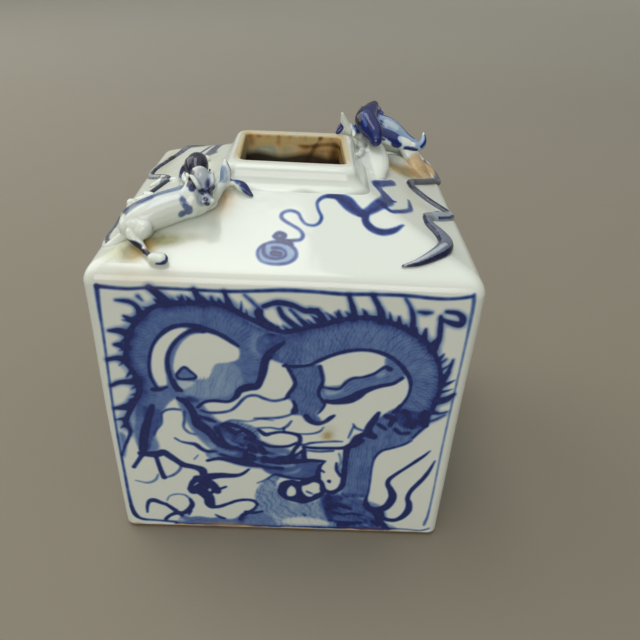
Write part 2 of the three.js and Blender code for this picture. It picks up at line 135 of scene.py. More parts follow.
# Surfaces
def unit(vectors, least=1e-9):
    return vectors / np.maximum(np.linalg.norm(vectors, axis=-1, keepdims=True), least)


def rounded(corners):
    """A profile of [half, z, radius] corners as points, each corner rounded by its own radius."""
    points = []
    for i, (half, z, radius) in enumerate(corners):
        here = np.array([half, z])
        if radius == 0:
            points.append(here)
            continue
        back = np.array(corners[i - 1][:2]) - here
        ahead = np.array(corners[i + 1][:2]) - here
        back, ahead = back / np.linalg.norm(back), ahead / np.linalg.norm(ahead)
        half_angle = math.acos(np.clip(back @ ahead, -1, 1)) / 2
        middle = here + (back + ahead) / np.linalg.norm(back + ahead) * radius / math.sin(half_angle)
        start = here + back * radius / math.tan(half_angle) - middle
        end = here + ahead * radius / math.tan(half_angle) - middle
        first = math.atan2(start[1], start[0])
        sweep = math.atan2(end[1], end[0]) - first
        sweep -= 2 * math.pi * round(sweep / (2 * math.pi))
        for step in range(ARC_STEPS + 1):
            angle = first + sweep * step / ARC_STEPS
            points.append(middle + radius * np.array([math.cos(angle), math.sin(angle)]))
    return np.array(points)


def resample(points, spacing):
    """The same polyline with even steps of about the spacing."""
    steps = np.linalg.norm(np.diff(points, axis=0), axis=1)
    along = np.concatenate([[0], np.cumsum(steps)])
    wanted = np.linspace(0, along[-1], max(2, int(round(along[-1] / spacing)) + 1))
    return np.stack([np.interp(wanted, along, points[:, k]) for k in range(points.shape[1])], 1)


def curve(points, step, least=2, axes=2):
    """A smooth curve through points, and through any values that ride with them, as even samples."""
    p = np.array(points, float)
    if len(p) < 3:
        p = np.stack([p[0], (p[0] + p[-1]) / 2, p[-1]])
    ends = np.concatenate([[2 * p[0] - p[1]], p, [2 * p[-1] - p[-2]]])
    out = []
    for a, b, c, d in zip(ends[:-3], ends[1:-2], ends[2:-1], ends[3:]):
        count = max(least, int(np.linalg.norm((c - b)[:axes]) / step))
        t = np.arange(count)[:, None] / count
        square, cube = 2 * a - 5 * b + 4 * c - d, 3 * b - a - 3 * c + d
        out.append(0.5 * (2 * b + (c - a) * t + square * t**2 + cube * t**3))
    return np.concatenate(out + [p[-1:]])


def wander(p):
    """The small unevenness of slabs luted by hand: a smooth field, the same wherever two pieces meet."""
    x, y, z = p[..., 0] / SHOULDER_WIDTH, p[..., 1] / SHOULDER_WIDTH, p[..., 2] / SHOULDER_WIDTH
    tau = 2 * math.pi
    dx = np.sin(tau * (0.9 * y + 0.6 * z + 0.13)) + 0.5 * np.sin(tau * (1.7 * z - 1.1 * y + 0.4))
    dy = np.sin(tau * (0.8 * x - 0.7 * z + 0.31)) + 0.5 * np.sin(tau * (1.9 * x + 0.8 * z + 0.2))
    dz = 0.6 * np.sin(tau * (0.9 * x + 0.5 * y + 0.55)) + 0.4 * np.sin(tau * (1.6 * y - 1.3 * x + 0.1))
    free = np.clip(z * SHOULDER_WIDTH / SETTLED, 0, 1)
    return WOBBLE * np.stack([dx * free, dy * free, dz * free], -1)


def quarter_point(across, half, corner):
    """A plan point on the front quarter of a square ring, across from -1 at one mitre to 1 at the other."""
    straight = half - corner
    reach = np.abs(across) * (straight + corner * math.pi / 4)
    angle = np.clip((reach - straight) / corner, 0, math.pi / 4)
    x = np.sign(across) * (np.minimum(reach, straight) + corner * np.sin(angle))
    return x, -half + corner * (1 - np.cos(angle))


def quarter_grid(profile, columns):
    half, z = profile[:, :1], profile[:, 1:]
    x, y = quarter_point(np.linspace(-1, 1, columns)[None, :], half, outer_corner(half))
    return np.stack([x, y, np.broadcast_to(z, x.shape)], -1)


def turned(points, quarter):
    c, s = [(1, 0), (0, 1), (-1, 0), (0, -1)][quarter]
    x, y = points[..., 0], points[..., 1]
    return np.stack([c * x - s * y, s * x + c * y, points[..., 2]], -1)


def grid_quads(index):
    return np.stack([index[:-1, :-1], index[:-1, 1:], index[1:, 1:], index[1:, :-1]], -1).reshape(-1, 4)


def ring_quads(rings, count, around=False):
    """Quads between rings of count points each, and from the last ring to the first if it goes around."""
    index = np.arange(rings * count).reshape(rings, count)
    index = np.concatenate([index, index[:1]]) if around else index
    return grid_quads(np.concatenate([index, index[:, :1]], 1))


def link_mesh(name, verts, faces, material, normals=None, smooth=None, attributes=None):
    mesh = bpy.data.meshes.new(name)
    mesh.from_pydata([tuple(v) for v in np.asarray(verts) * MM], [], faces)
    mesh.update()
    mesh.polygons.foreach_set("use_smooth", np.ones(len(faces), bool) if smooth is None else smooth)
    for key, values in (attributes or {}).items():
        layer = mesh.attributes.new(key, "FLOAT", "POINT")
        layer.data.foreach_set("value", np.asarray(values, np.float32))
    if normals is not None:
        mesh.normals_split_custom_set(normals)
    mesh.materials.append(material)
    obj = bpy.data.objects.new(name, mesh)
    bpy.context.scene.collection.objects.link(obj)
    return obj


def fit(piece, slot, *nodes):
    """Nothing moves, so every piece rides on the root, and it stands for the solids that it dresses."""
    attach(piece, "root")
    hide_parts(*nodes)


# The pot's slabs
def slab(name, outer, inner, quarter, material, attributes):
    """A closed slab on one side of the pot: a fine outer grid, and a flat inner face given as a profile."""
    rows, columns = outer.shape[:2]
    normals = turned(unit(np.cross(np.gradient(outer, axis=1), np.gradient(outer, axis=0))), quarter)
    placed = turned(outer, quarter)
    placed = placed + wander(placed)
    index = np.arange(rows * columns).reshape(rows, columns)
    quads = grid_quads(index)
    border = np.concatenate([index[0], index[1:, -1], index[-1, -2::-1], index[-2:0:-1, 0]])
    row, column = border // columns, border % columns
    half = inner[row, 0]
    flat_edge = np.stack([(2 * column / (columns - 1) - 1) * half, -half, inner[row, 1]], -1)
    flat_edge = turned(flat_edge, quarter)
    middle = flat_edge.mean(0)
    verts = np.concatenate([placed.reshape(-1, 3), flat_edge, [middle]])
    ring = rows * columns + np.arange(len(border))
    fan = np.stack([np.roll(ring, -1), ring, np.full(len(ring), len(verts) - 1)], -1)
    sides = np.stack([border, ring, np.roll(ring, -1), np.roll(border, -1)], -1)
    faces = quads.tolist() + sides.tolist() + fan.tolist()
    corners = verts[sides]
    flat = unit(np.cross(corners[:, 1] - corners[:, 0], corners[:, 3] - corners[:, 0]))
    inward = unit(np.cross(flat_edge[len(ring) // 3] - middle, flat_edge[0] - middle))
    loops = np.concatenate([
        normals.reshape(-1, 3)[quads.ravel()],
        np.repeat(flat, 4, axis=0),
        np.tile(inward, (3 * len(ring), 1)),
    ])
    smooth = np.arange(len(faces)) < len(quads)
    layers = {key: np.concatenate([v.ravel(), np.zeros(len(ring) + 1)]) for key, v in attributes.items()}
    return link_mesh(name, verts, faces, material, loops, smooth, layers)


outer_profile = rounded([
    (base_half - FOOT_BEVEL, 0, 0),
    (wall_half(FOOT_BEVEL), FOOT_BEVEL, 0),
    (edge_half, SHOULDER_HEIGHT, SHOULDER_ROUND),
    (collar_half, slope_z(collar_half), COLLAR_FILLET),
    (rim_half, RIM_HEIGHT, RIM_ROUND),
    (MOUTH_WIDTH / 2 + LIP_ROUND, RIM_HEIGHT, 0),
])
wall_top = ARC_STEPS + 2    # the last point of the shoulder's arc; the next one starts the collar's fillet
wall_profile = outer_profile[1:wall_top + 1]
shoulder_profile = outer_profile[wall_top:wall_top + 2]
collar_profile = outer_profile[wall_top + 1:]
inner_edge = edge_half - WALL
inner_edge_z = slope_z(inner_edge) - slab_rise


def inner_wall(profile):
    share = (profile[:, 1] - profile[0, 1]) / (profile[-1, 1] - profile[0, 1])
    z = FOOT_BEVEL + share * (inner_edge_z - FOOT_BEVEL)
    low = wall_half(FOOT_BEVEL) - WALL
    return np.stack([low + (z - FOOT_BEVEL) / (inner_edge_z - FOOT_BEVEL) * (inner_edge - low), z], -1)


def inner_shoulder(profile):
    share = (profile[:, 0] - profile[0, 0]) / (profile[-1, 0] - profile[0, 0])
    half = inner_edge + share * (profile[-1, 0] - inner_edge)
    return np.stack([half, slope_z(half) - slab_rise], -1)


def build_slabs(material):
    """The four walls, then the four slopes over them."""
    for quarter, side in enumerate(SIDES):
        fine = FRONT_STEP if side == "front" else WALL_STEP
        profile = resample(wall_profile, fine)
        grid = quarter_grid(profile, int(2 * edge_half / fine))
        paint = paint_wall(side, grid)
        piece = slab(f"{side}_face", grid, inner_wall(profile), quarter, material, paint)
        fit(piece, "painted_glaze", f"{side}_wall")
    for quarter, side in enumerate(SIDES):
        profile = resample(shoulder_profile, SLOPE_STEP)
        grid = quarter_grid(profile, SLOPE_COLUMNS[quarter])
        paint = paint_slope(side, grid)
        piece = slab(f"{side}_slope", grid, inner_shoulder(profile), quarter, material, paint)
        fit(piece, "white_glaze", f"{side}_shoulder")


def rectangle(half_x, half_y, corner, z, columns):
    """A closed ring with round corners, as four quarters that meet at the corner middles."""
    across = np.linspace(-1, 1, columns, endpoint=False)
    quarters = []
    for quarter, (along, out) in enumerate([(half_x, half_y), (half_y, half_x)] * 2):
        x, y = quarter_point(across, along, corner)
        quarters.append(turned(np.stack([x, y + along - out, np.full_like(x, z)], -1), quarter))
    return np.concatenate(quarters)


def hand_cut(x, y):
    """How far the hole's sides stray from square: it is wider at the back left and front right."""
    back_left = np.clip(1 - x, 0, 2) * np.clip(1 + y, 0, 2) / 4
    front_right = np.clip(1 + x, 0, 2) * np.clip(1 - y, 0, 2) / 4
    return front_right - 0.8 * back_left


# Dark cracks down the hole's walls, each (x at the rim, lean, width)
MOUTH_CRACKS = [(-4.6, -0.1, 0.9), (7.0, 0.5, 0.7), (11.0, 0.1, 1.1), (-11.4, 0.0, 1.0)]


def mouth_stains_and_shade(verts, inside):
    """Ochre and brown stains round the hole and down its walls, and painted shade: the walls turn near black
    far down the hole.
    """
    x, y, z = verts.T
    depth = RIM_HEIGHT - z
    out = np.maximum(np.abs(x) - MOUTH_WIDTH / 2, np.abs(y) - MOUTH_DEPTH / 2)
    back = np.clip(y / 5, -1, 1) * 0.5 + 0.5
    right = np.clip((x + 3) / 6, 0, 1)
    ends = np.clip(np.abs(x) / 3 - 2.8, 0, 1) * np.clip((y + 12) / 4, 0, 1)
    land = 0.85 * np.exp(-np.clip(out - 0.2, 0, 9) / 2.2) * np.maximum(0.8 * back, ends) + 0.12 * inside
    ragged = 0.4 + 0.3 * np.sin(0.8 * x + 1.1 * y + 2) + 0.3 * np.sin(2.3 * x + 1.7 * y + 4)
    edge = np.exp(-((depth - 0.8) / 0.8) ** 2) * ragged
    crack = sum(np.exp(-((x - at_rim + lean * depth) / wide) ** 2) for at_rim, lean, wide in MOUTH_CRACKS)
    line = np.exp(-((depth - 2.7 - 0.4 * np.sin(x / 1.9)) / 0.7) ** 2) * (0.15 + 0.85 * right)
    low = np.clip((depth - 2.2) / 2, 0, 1)
    bore = (depth > 0.3) & (out < LIP_ROUND)
    amount = np.where(bore, 1 - 0.3 * low * (1 - right), land)
    hue = 0.37 + bore * (0.34 * edge + 0.42 * line + 0.24 * crack * back + low * (0.48 * right - 0.2))
    # painted shade: below about 4.6 mm the walls of the hole are darkened towards near black
    painted_bore_shade = np.clip((depth - 4.6 + 0.5 * np.sin(x / 2.1)) / 1.6, 0, 1)
    bare = np.zeros(len(verts))
    return {"cobalt": bare, "stain_and_shadow": amount * inside, "stain_and_shadow_hue": np.clip(hue, 0, 1), "painted_bore_shade": painted_bore_shade}


def build_collar(material):
    """The mouth's collar as a closed ring of rings: slope, rim, lip, bore and underside."""
    half_x, half_y, columns = MOUTH_WIDTH / 2, MOUTH_DEPTH / 2, COLLAR_COLUMNS

    def hole(out, z):
        return rectangle(half_x + out, half_y + out, MOUTH_CORNER + out, z, columns)

    profile = resample(collar_profile, COLLAR_STEP)
    rings = [rectangle(half, half, outer_corner(half), z, columns) for half, z in profile[:-1]]
    rim = len(rings)
    for a in np.linspace(0, math.pi / 2, LIP_RINGS):
        rings.append(hole(LIP_ROUND * (1 - math.sin(a)), RIM_HEIGHT - LIP_ROUND * (1 - math.cos(a))))
    inner_half = collar_profile[0, 0]
    ceiling = slope_z(inner_half) - slab_rise
    rings += [hole(0, z) for z in np.linspace(RIM_HEIGHT - LIP_ROUND, ceiling + BORE_END, BORE_RINGS)[1:]]
    bore_end = len(rings)
    rings.append(rectangle(inner_half, inner_half, outer_corner(inner_half), ceiling, columns))
    verts = np.concatenate(rings)
    count = 4 * columns
    out = np.maximum(np.abs(verts[:, 0]), np.abs(verts[:, 1]))
    share = np.clip((rim_half - out) / (RIM_LAND - LIP_ROUND), 0, 1)
    verts[:, 0] += share * hand_cut(verts[:, 0] / half_x, verts[:, 1] / half_y)
    layers = mouth_stains_and_shade(verts, np.repeat(np.arange(len(rings)) >= rim - 6, count))
    verts = verts + wander(verts)
    smooth = np.arange(len(rings)).repeat(count) < bore_end - 1
    quads = ring_quads(len(rings), count, around=True).tolist()
    piece = link_mesh("mouth_collar_glazed", verts, quads, material, None, smooth, layers)
    fit(piece, "white_glaze", "mouth_collar")


def build_foot(material):
    """The unglazed base slab: the flat foot, its bevel, and the floor of the water cavity."""
    low = wall_half(FOOT_BEVEL)
    steps = resample(np.array([[base_half - FOOT_BEVEL, 0], [low, FOOT_BEVEL]]), FOOT_STEP)
    stack = [(half, z, BODY_CORNER) for half, z in steps]
    stack += [(low - WALL, z, CAVITY_CORNER) for z in (FOOT_BEVEL, BASE_SLAB)]
    rings = [rectangle(half, half, corner, z, FOOT_COLUMNS) for half, z, corner in stack]
    verts = np.concatenate(rings)
    count = 4 * FOOT_COLUMNS
    caps = [list(range(count))[::-1], list(range(len(verts) - count, len(verts)))]
    faces = ring_quads(len(rings), count).tolist() + caps
    piece = link_mesh("foot_slab", verts, faces, material, smooth=np.zeros(len(faces), bool))
    fit(piece, "biscuit", "base_slab")


# Materials
class Look:
    """A material being made: its nodes, its shader, and the object's own coordinates for noise."""

    def __init__(self, name):
        self.material = bpy.data.materials.new(name)
        self.material.use_nodes = True
        self.tree = self.material.node_tree
        self.shader = self.tree.nodes["Principled BSDF"]
        self.place = self.node("ShaderNodeTexCoord").outputs["Object"]

    def put(self, sockets, values):
        for socket, value in zip(sockets, values):
            if isinstance(value, bpy.types.NodeSocket):
                self.tree.links.new(value, socket)
            else:
                socket.default_value = value

    def node(self, kind, inputs=None, **settings):
        made = self.tree.nodes.new(kind)
        for key, value in settings.items():
            setattr(made, key, value)
        inputs = inputs or {}
        self.put([made.inputs[key] for key in inputs], inputs.values())
        return made

    def surface(self, **inputs):
        self.put([self.shader.inputs[key.replace("_", " ")] for key in inputs], inputs.values())
        return self.material

    def ramp(self, factor, stops):
        made = self.node("ShaderNodeValToRGB", {"Fac": factor})
        elements = made.color_ramp.elements
        while len(elements) < len(stops):
            elements.new(0.5)
        for element, (place, *colour) in zip(elements, stops):
            element.position = place
            element.color = (*colour, 1)
        return made.outputs["Color"]

    def mix(self, factor, a, b):
        made = self.node("ShaderNodeMix", data_type="RGBA")
        self.put([s for s in made.inputs if s.enabled], (factor, a, b))
        return [s for s in made.outputs if s.enabled][0]

    def maths(self, operation, *values, clamp=False):
        made = self.node("ShaderNodeMath", operation=operation, use_clamp=clamp)
        self.put(made.inputs, values)
        return made.outputs[0]

    def times(self, a, b, clamp=False):
        return self.maths("MULTIPLY", a, b, clamp=clamp)

    def plus(self, a, b, clamp=False):
        return self.maths("ADD", a, b, clamp=clamp)

    def noise(self, scale, detail=2.0, roughness=0.5):
        inputs = {"Vector": self.place, "Scale": scale, "Detail": detail, "Roughness": roughness}
        return self.node("ShaderNodeTexNoise", inputs).outputs["Fac"]

    def bump(self, height, strength, distance):
        inputs = {"Height": height, "Strength": strength, "Distance": distance}
        return self.node("ShaderNodeBump", inputs).outputs["Normal"]

    def attribute(self, name):
        return self.node("ShaderNodeAttribute", attribute_name=name).outputs["Fac"]


def glaze_material():
    """Clear glaze over a white body, cobalt under it, the ochre stains of age, and painted shade: a shadow on
    the slope under the left dragon, near black far down the mouth's hole, and grey on the right dragon's
    white foreleg mass.
    """
    look = Look("painted_glaze")
    times, plus = look.times, look.plus
    slow = look.noise(28, 3)
    white = look.ramp(slow, [(0.3, 0.695, 0.75, 0.685), (0.7, 0.735, 0.775, 0.70)])
    cobalt = look.attribute("cobalt")
    grain = look.noise(900, 3, 0.6)
    pooled = look.noise(260, 2, 0.5)
    spread = look.maths("MULTIPLY_ADD", look.maths("SUBTRACT", pooled, 0.5), 0.5, 0.5)
    strength = times(cobalt, plus(spread, 1.0), clamp=True)
    speckle = times(look.maths("SUBTRACT", grain, 0.5), 0.35)
    strength = plus(strength, times(speckle, strength), clamp=True)
    blue = look.ramp(strength, [
        (0.0, 0.73, 0.755, 0.675), (0.16, 0.45, 0.54, 0.62), (0.34, 0.215, 0.325, 0.495),
        (0.5, 0.125, 0.215, 0.43), (0.65, 0.066, 0.124, 0.335), (0.8, 0.032, 0.064, 0.25),
        (0.92, 0.019, 0.036, 0.18), (1.0, 0.013, 0.021, 0.115),
    ])
    slate = look.ramp(strength, [
        (0.0, 0.73, 0.755, 0.675), (0.25, 0.36, 0.38, 0.37), (0.5, 0.17, 0.18, 0.19),
        (0.75, 0.065, 0.068, 0.08), (1.0, 0.02, 0.02, 0.026),
    ])
    # the slate greying, and grey painted shade on the right dragon's white foreleg mass
    blue = look.mix(look.attribute("iron_and_shade_grey"), blue, slate)
    colour = look.mix(times(strength, 8.0, clamp=True), white, blue)
    cloudy = look.noise(210, 5, 0.62)
    swing = look.maths("SUBTRACT", cloudy, 0.5)
    # stains, and on the front slope a painted shadow under the left dragon's belly
    stain_and_shadow_cover = times(look.attribute("stain_and_shadow"), plus(cloudy, 0.55), clamp=True)
    hue = plus(look.attribute("stain_and_shadow_hue"), times(swing, 0.55), clamp=True)
    tint = look.ramp(hue, [
        (0.0, 0.50, 0.49, 0.22), (0.2, 0.30, 0.29, 0.16), (0.42, 0.55, 0.41, 0.16),
        (0.6, 0.52, 0.34, 0.145), (0.8, 0.25, 0.14, 0.032), (1.0, 0.09, 0.04, 0.012),
    ])
    colour = look.mix(stain_and_shadow_cover, colour, tint)
    # painted shade: near black mixed in far down the mouth's hole
    colour = look.mix(times(look.attribute("painted_bore_shade"), 0.94), colour, (0.022, 0.012, 0.007, 1))
    gloss = look.maths("MULTIPLY_ADD", slow, 0.12, 0.06)
    height = plus(look.noise(150, 2, 0.4), times(look.noise(700, 2), 0.15))
    roughness = plus(gloss, times(stain_and_shadow_cover, 0.3))
    normal = look.bump(height, 0.12, 0.0006)
    return look.surface(Base_Color=colour, Roughness=roughness, IOR=1.5, Normal=normal)


def biscuit_material():
    look = Look("biscuit")
    grime = look.noise(160, 5, 0.65)
    colour = look.ramp(grime, [(0.3, 0.16, 0.10, 0.05), (0.5, 0.38, 0.27, 0.15), (0.7, 0.56, 0.44, 0.28)])
    normal = look.bump(look.noise(1400, 4, 0.7), 0.5, 0.0003)
    return look.surface(Base_Color=colour, Roughness=0.85, Normal=normal)


def floor_painted_light_material():
    """Painted light: the floor's colour grows paler away from the viewer, standing in for brighter light on
    the far floor.
    """
    look = Look("floor")
    away = look.times(look.node("ShaderNodeSeparateXYZ", {"Vector": look.place}).outputs["Y"], 0.4)
    colour = look.ramp(look.plus(away, look.times(look.noise(60, 3), 0.012)), [
        (0.012, 0.232, 0.205, 0.155), (0.2, 0.30, 0.278, 0.225),
        (0.4, 0.42, 0.398, 0.34), (1.0, 0.72, 0.69, 0.61),
    ])
    return look.surface(Base_Color=colour, Roughness=0.75)


# Painting: flat fields of cobalt that the glaze shows, from 0, bare, to 1, the deepest blue
def numbers(text):
    return [[float(v) for v in point.split()] for point in text.split(",")]


def entries(text):
    """The entries 'how: points' of a text, each of which goes on in lines that begin with a space."""
    for entry in text.strip().replace("\n ", " ").split("\n"):
        how, points = entry.split(":")
        yield how.split(), points


def blurred(field):
    p = np.pad(field, 1, mode="edge")
    sideways = 0.25 * p[:, :-2] + 0.5 * p[:, 1:-1] + 0.25 * p[:, 2:]
    return 0.25 * sideways[:-2] + 0.5 * sideways[1:-1] + 0.25 * sideways[2:]


def eased(cover):
    return cover * cover * (3 - 2 * cover)


class Sheet:
    """A stretch of the surface with brushwork on it, laid by texts of points 'x z' or 'x z width'."""

    def __init__(self, left, right, low, high, seed):
        self.left, self.low = left, low
        self.x = np.arange(left, right, PIXEL)
        self.z = np.arange(low, high, PIXEL)
        self.ink = np.zeros((len(self.z), len(self.x)))
        self.hand = np.random.default_rng(seed)

    def paint(self, text):
        """Lays each entry of a text: a line of the tone that it gives, or the kind of work that it names."""
        kinds = {"wash": self.wash, "bare": self.bare, "body": self.body, "flame": self.flame}
        for how, points in entries(text):
            work = kinds[how.pop(0)] if how[0] in kinds else self.line
            work(points, *map(float, how))

    def window(self, low, high, margin=1.0):
        """The pixels between two corners, as slices up and along."""
        parts = []
        for axis, start, count in [(1, self.low, len(self.z)), (0, self.left, len(self.x))]:
            ends = np.array([low[axis], high[axis]]) + [-margin, margin]
            first, last = np.clip(((ends - start) / PIXEL).astype(int), 0, count)
            parts.append(slice(first, last + 1))
        return tuple(parts)

    def lay(self, area, cover):
        self.ink[area] = 1 - (1 - self.ink[area]) * (1 - cover)

    def line(self, text, tone, swell=1.0, feather=0.0):
        path = curve(numbers(text), DAB)
        radius = np.maximum(path[:, 2] * BRUSH * swell, 0.12) / 2
        area = self.window(path[:, :2].min(0), path[:, :2].max(0), radius.max() + 0.6 + feather)
        cover = np.zeros(self.ink[area].shape)
        x, z = self.x[area[1]], self.z[area[0]]
        run = np.arange(len(path)) * DAB + path[0, 0] * 3.7
        loads = 0.93 + 0.07 * np.sin(run * 0.9) + 0.05 * np.sin(run * 2.3 + 1)
        for (px, pz), r, load in zip(path[:, :2], radius, loads):
            soft = BLEED + 0.11 * r + feather
            reach = r + 0.6 + feather
            i0, i1 = np.searchsorted(x, [px - reach, px + reach])
            j0, j1 = np.searchsorted(z, [pz - reach, pz + reach])
            away = np.hypot(x[None, i0:i1] - px, z[j0:j1, None] - pz) - r
            here = cover[j0:j1, i0:i1]
            np.maximum(here, eased(np.clip(0.5 - away / (2 * soft), 0, 1)) * load, out=here)
        self.lay(area, np.clip(cover * tone, 0, 0.985))

    def flame(self, text, tone):
        """A fin or flame: a thick line in a faint wide wash of its own."""
        self.line(text, 0.2, 2.6, 0.6)
        self.line(text, 0.92 * tone, 1.45)

    def thorns(self, text, every, length, tone, lean=0.5):
        """Small uneven thorns that grow out of the left side of a stroke, leaning back along it."""
        path = curve([p[:2] for p in numbers(text)], DAB)
        ahead = np.gradient(path, axis=0)
        ahead /= np.linalg.norm(ahead, axis=1, keepdims=True)
        k = 4
        while k < len(path):
            out = np.array([-ahead[k, 1], ahead[k, 0]]) - lean * ahead[k]
            long = length * (0.5 + self.hand.random())
            root, middle, tip = (path[k] + out * reach for reach in (0, 0.55 * long, long))
            wide = 0.7 + 0.7 * self.hand.random()
            points = [(*root, wide), (*middle, 0.62 * wide), (*(tip - 0.2 * ahead[k]), 0.15)]
            self.line(",".join("%.2f %.2f %.2f" % p for p in points), tone)
            k += int(every * (0.6 + 0.8 * self.hand.random()) / DAB)

    def inside(self, text, soft):
        """How far each pixel of the window is inside an outline, from 0 to 1, with a soft edge."""
        path = curve(numbers(text + "," + text.split(",")[0]), 0.4)
        area = self.window(path.min(0), path.max(0))
        x, z = np.meshgrid(self.x[area[1]], self.z[area[0]])
        odd = np.zeros(x.shape, bool)
        for (ax, az), (bx, bz) in zip(path, np.roll(path, -1, axis=0)):
            if az != bz:
                odd ^= ((az > z) != (bz > z)) & (x < (bx - ax) * (z - az) / (bz - az) + ax)
        cover = odd.astype(float)
        for _ in range(max(1, int(round(soft / PIXEL * 2)))):
            cover = blurred(cover)
        return area, cover, x, z

    def wash(self, text, tone, soft=0.2, depth=0.25, *hatch):
        """A wash over an outline. hatch gives brush streaks of that depth, each by its angle and spacing."""
        area, cover, x, z = self.inside(text, soft)
        level = np.full(cover.shape, tone)
        for angle, spacing in zip(hatch[::2], hatch[1::2]):
            c, s = math.cos(math.radians(angle)), math.sin(math.radians(angle))
            level += self.streaks(-s * x + c * z, c * x + s * z, spacing, depth)
        self.lay(area, cover * np.clip(level, 0, 0.95))

    def bare(self, text, share=1.0, soft=0.12):
        """An outline inside which the cobalt is wiped away, by that share of it."""
        area, cover, _, _ = self.inside(text, soft)
        self.ink[area] *= 1 - cover * share

    def streaks(self, across, along, spacing, depth):
        """Uneven dark strokes side by side, each with its own strength, length and slight bend."""
        bend = 0.35 * np.sin(along * 0.7 + across * 0.21) + 0.2 * np.sin(along * 1.9 + 1)
        place = (across + bend * spacing) / spacing
        number = np.floor(place).astype(int)
        draws = self.hand.random(4096)
        strength = draws[np.abs(number * 7 + np.floor(along / 5 + number * 0.37).astype(int)) % len(draws)]
        line = np.exp(-(((place - number) - 0.5) / 0.2) ** 2)
        return depth * (line * (0.3 + strength) - 0.38)

    def body(self, text, tone, spacing, slant, depth, scales=0):
        """A band of wash along a centreline, with strokes laid across it, as on a dragon's body."""
        path = curve(numbers(text), 0.3)
        radius = path[:, 2] / 2
        path = path[:, :2]
        area = self.window((path - radius[:, None]).min(0), (path + radius[:, None]).max(0), 0.6)
        x, z = np.meshgrid(self.x[area[1]], self.z[area[0]])
        gap = np.full(x.shape, 1e9)
        nearest = np.zeros(x.shape, int)
        for k, ((px, pz), r) in enumerate(zip(path, radius)):
            away = np.hypot(x - px, z - pz) / r
            closer = away < gap
            gap[closer] = away[closer]
            nearest[closer] = k
        run = np.concatenate([[0], np.cumsum(np.linalg.norm(np.diff(path, axis=0), axis=1))])
        ahead = np.gradient(path, axis=0)
        ahead /= np.linalg.norm(ahead, axis=1, keepdims=True)
        ahead = ahead[nearest]
        offset = np.stack([x, z], -1) - path[nearest]
        along = run[nearest] + (offset * ahead).sum(-1)
        across = offset[..., 1] * ahead[..., 0] - offset[..., 0] * ahead[..., 1]
        cover = np.clip((1 - gap) * radius[nearest] / (2 * BLEED) + 0.5, 0, 1)
        level = tone + self.streaks(along + slant * across, across, spacing, depth)
        if scales:
            level += self.streaks(along - 1.2 * slant * across, across, spacing * 1.4, depth * 0.8)
        self.lay(area, cover * np.clip(level, 0, 0.92))

    def finish(self):
        """The bleed of the cobalt into the glaze: a faint halo, and slightly softened lines."""
        soft = blurred(blurred(self.ink))
        halo = soft
        for _ in range(30):
            halo = blurred(halo)
        self.ink = np.clip(0.8 * soft + 0.2 * self.ink + 0.1 * halo * (1 - soft), 0, 1)
        return self

    def sample(self, x, z):
        """The field at any points, with clean edges outside the sheet."""
        u = np.clip((x - self.left) / PIXEL, 0, len(self.x) - 1.001)
        v = np.clip((z - self.low) / PIXEL, 0, len(self.z) - 1.001)
        i, j = u.astype(int), v.astype(int)
        a, b = u - i, v - j
        f = self.ink
        low = f[j, i] * (1 - a) * (1 - b) + f[j, i + 1] * a * (1 - b)
        value = low + f[j + 1, i] * (1 - a) * b + f[j + 1, i + 1] * a * b
        here = (x > self.left) & (x < self.x[-1]) & (z > self.low) & (z < self.z[-1])
        return np.where(here, value, 0)
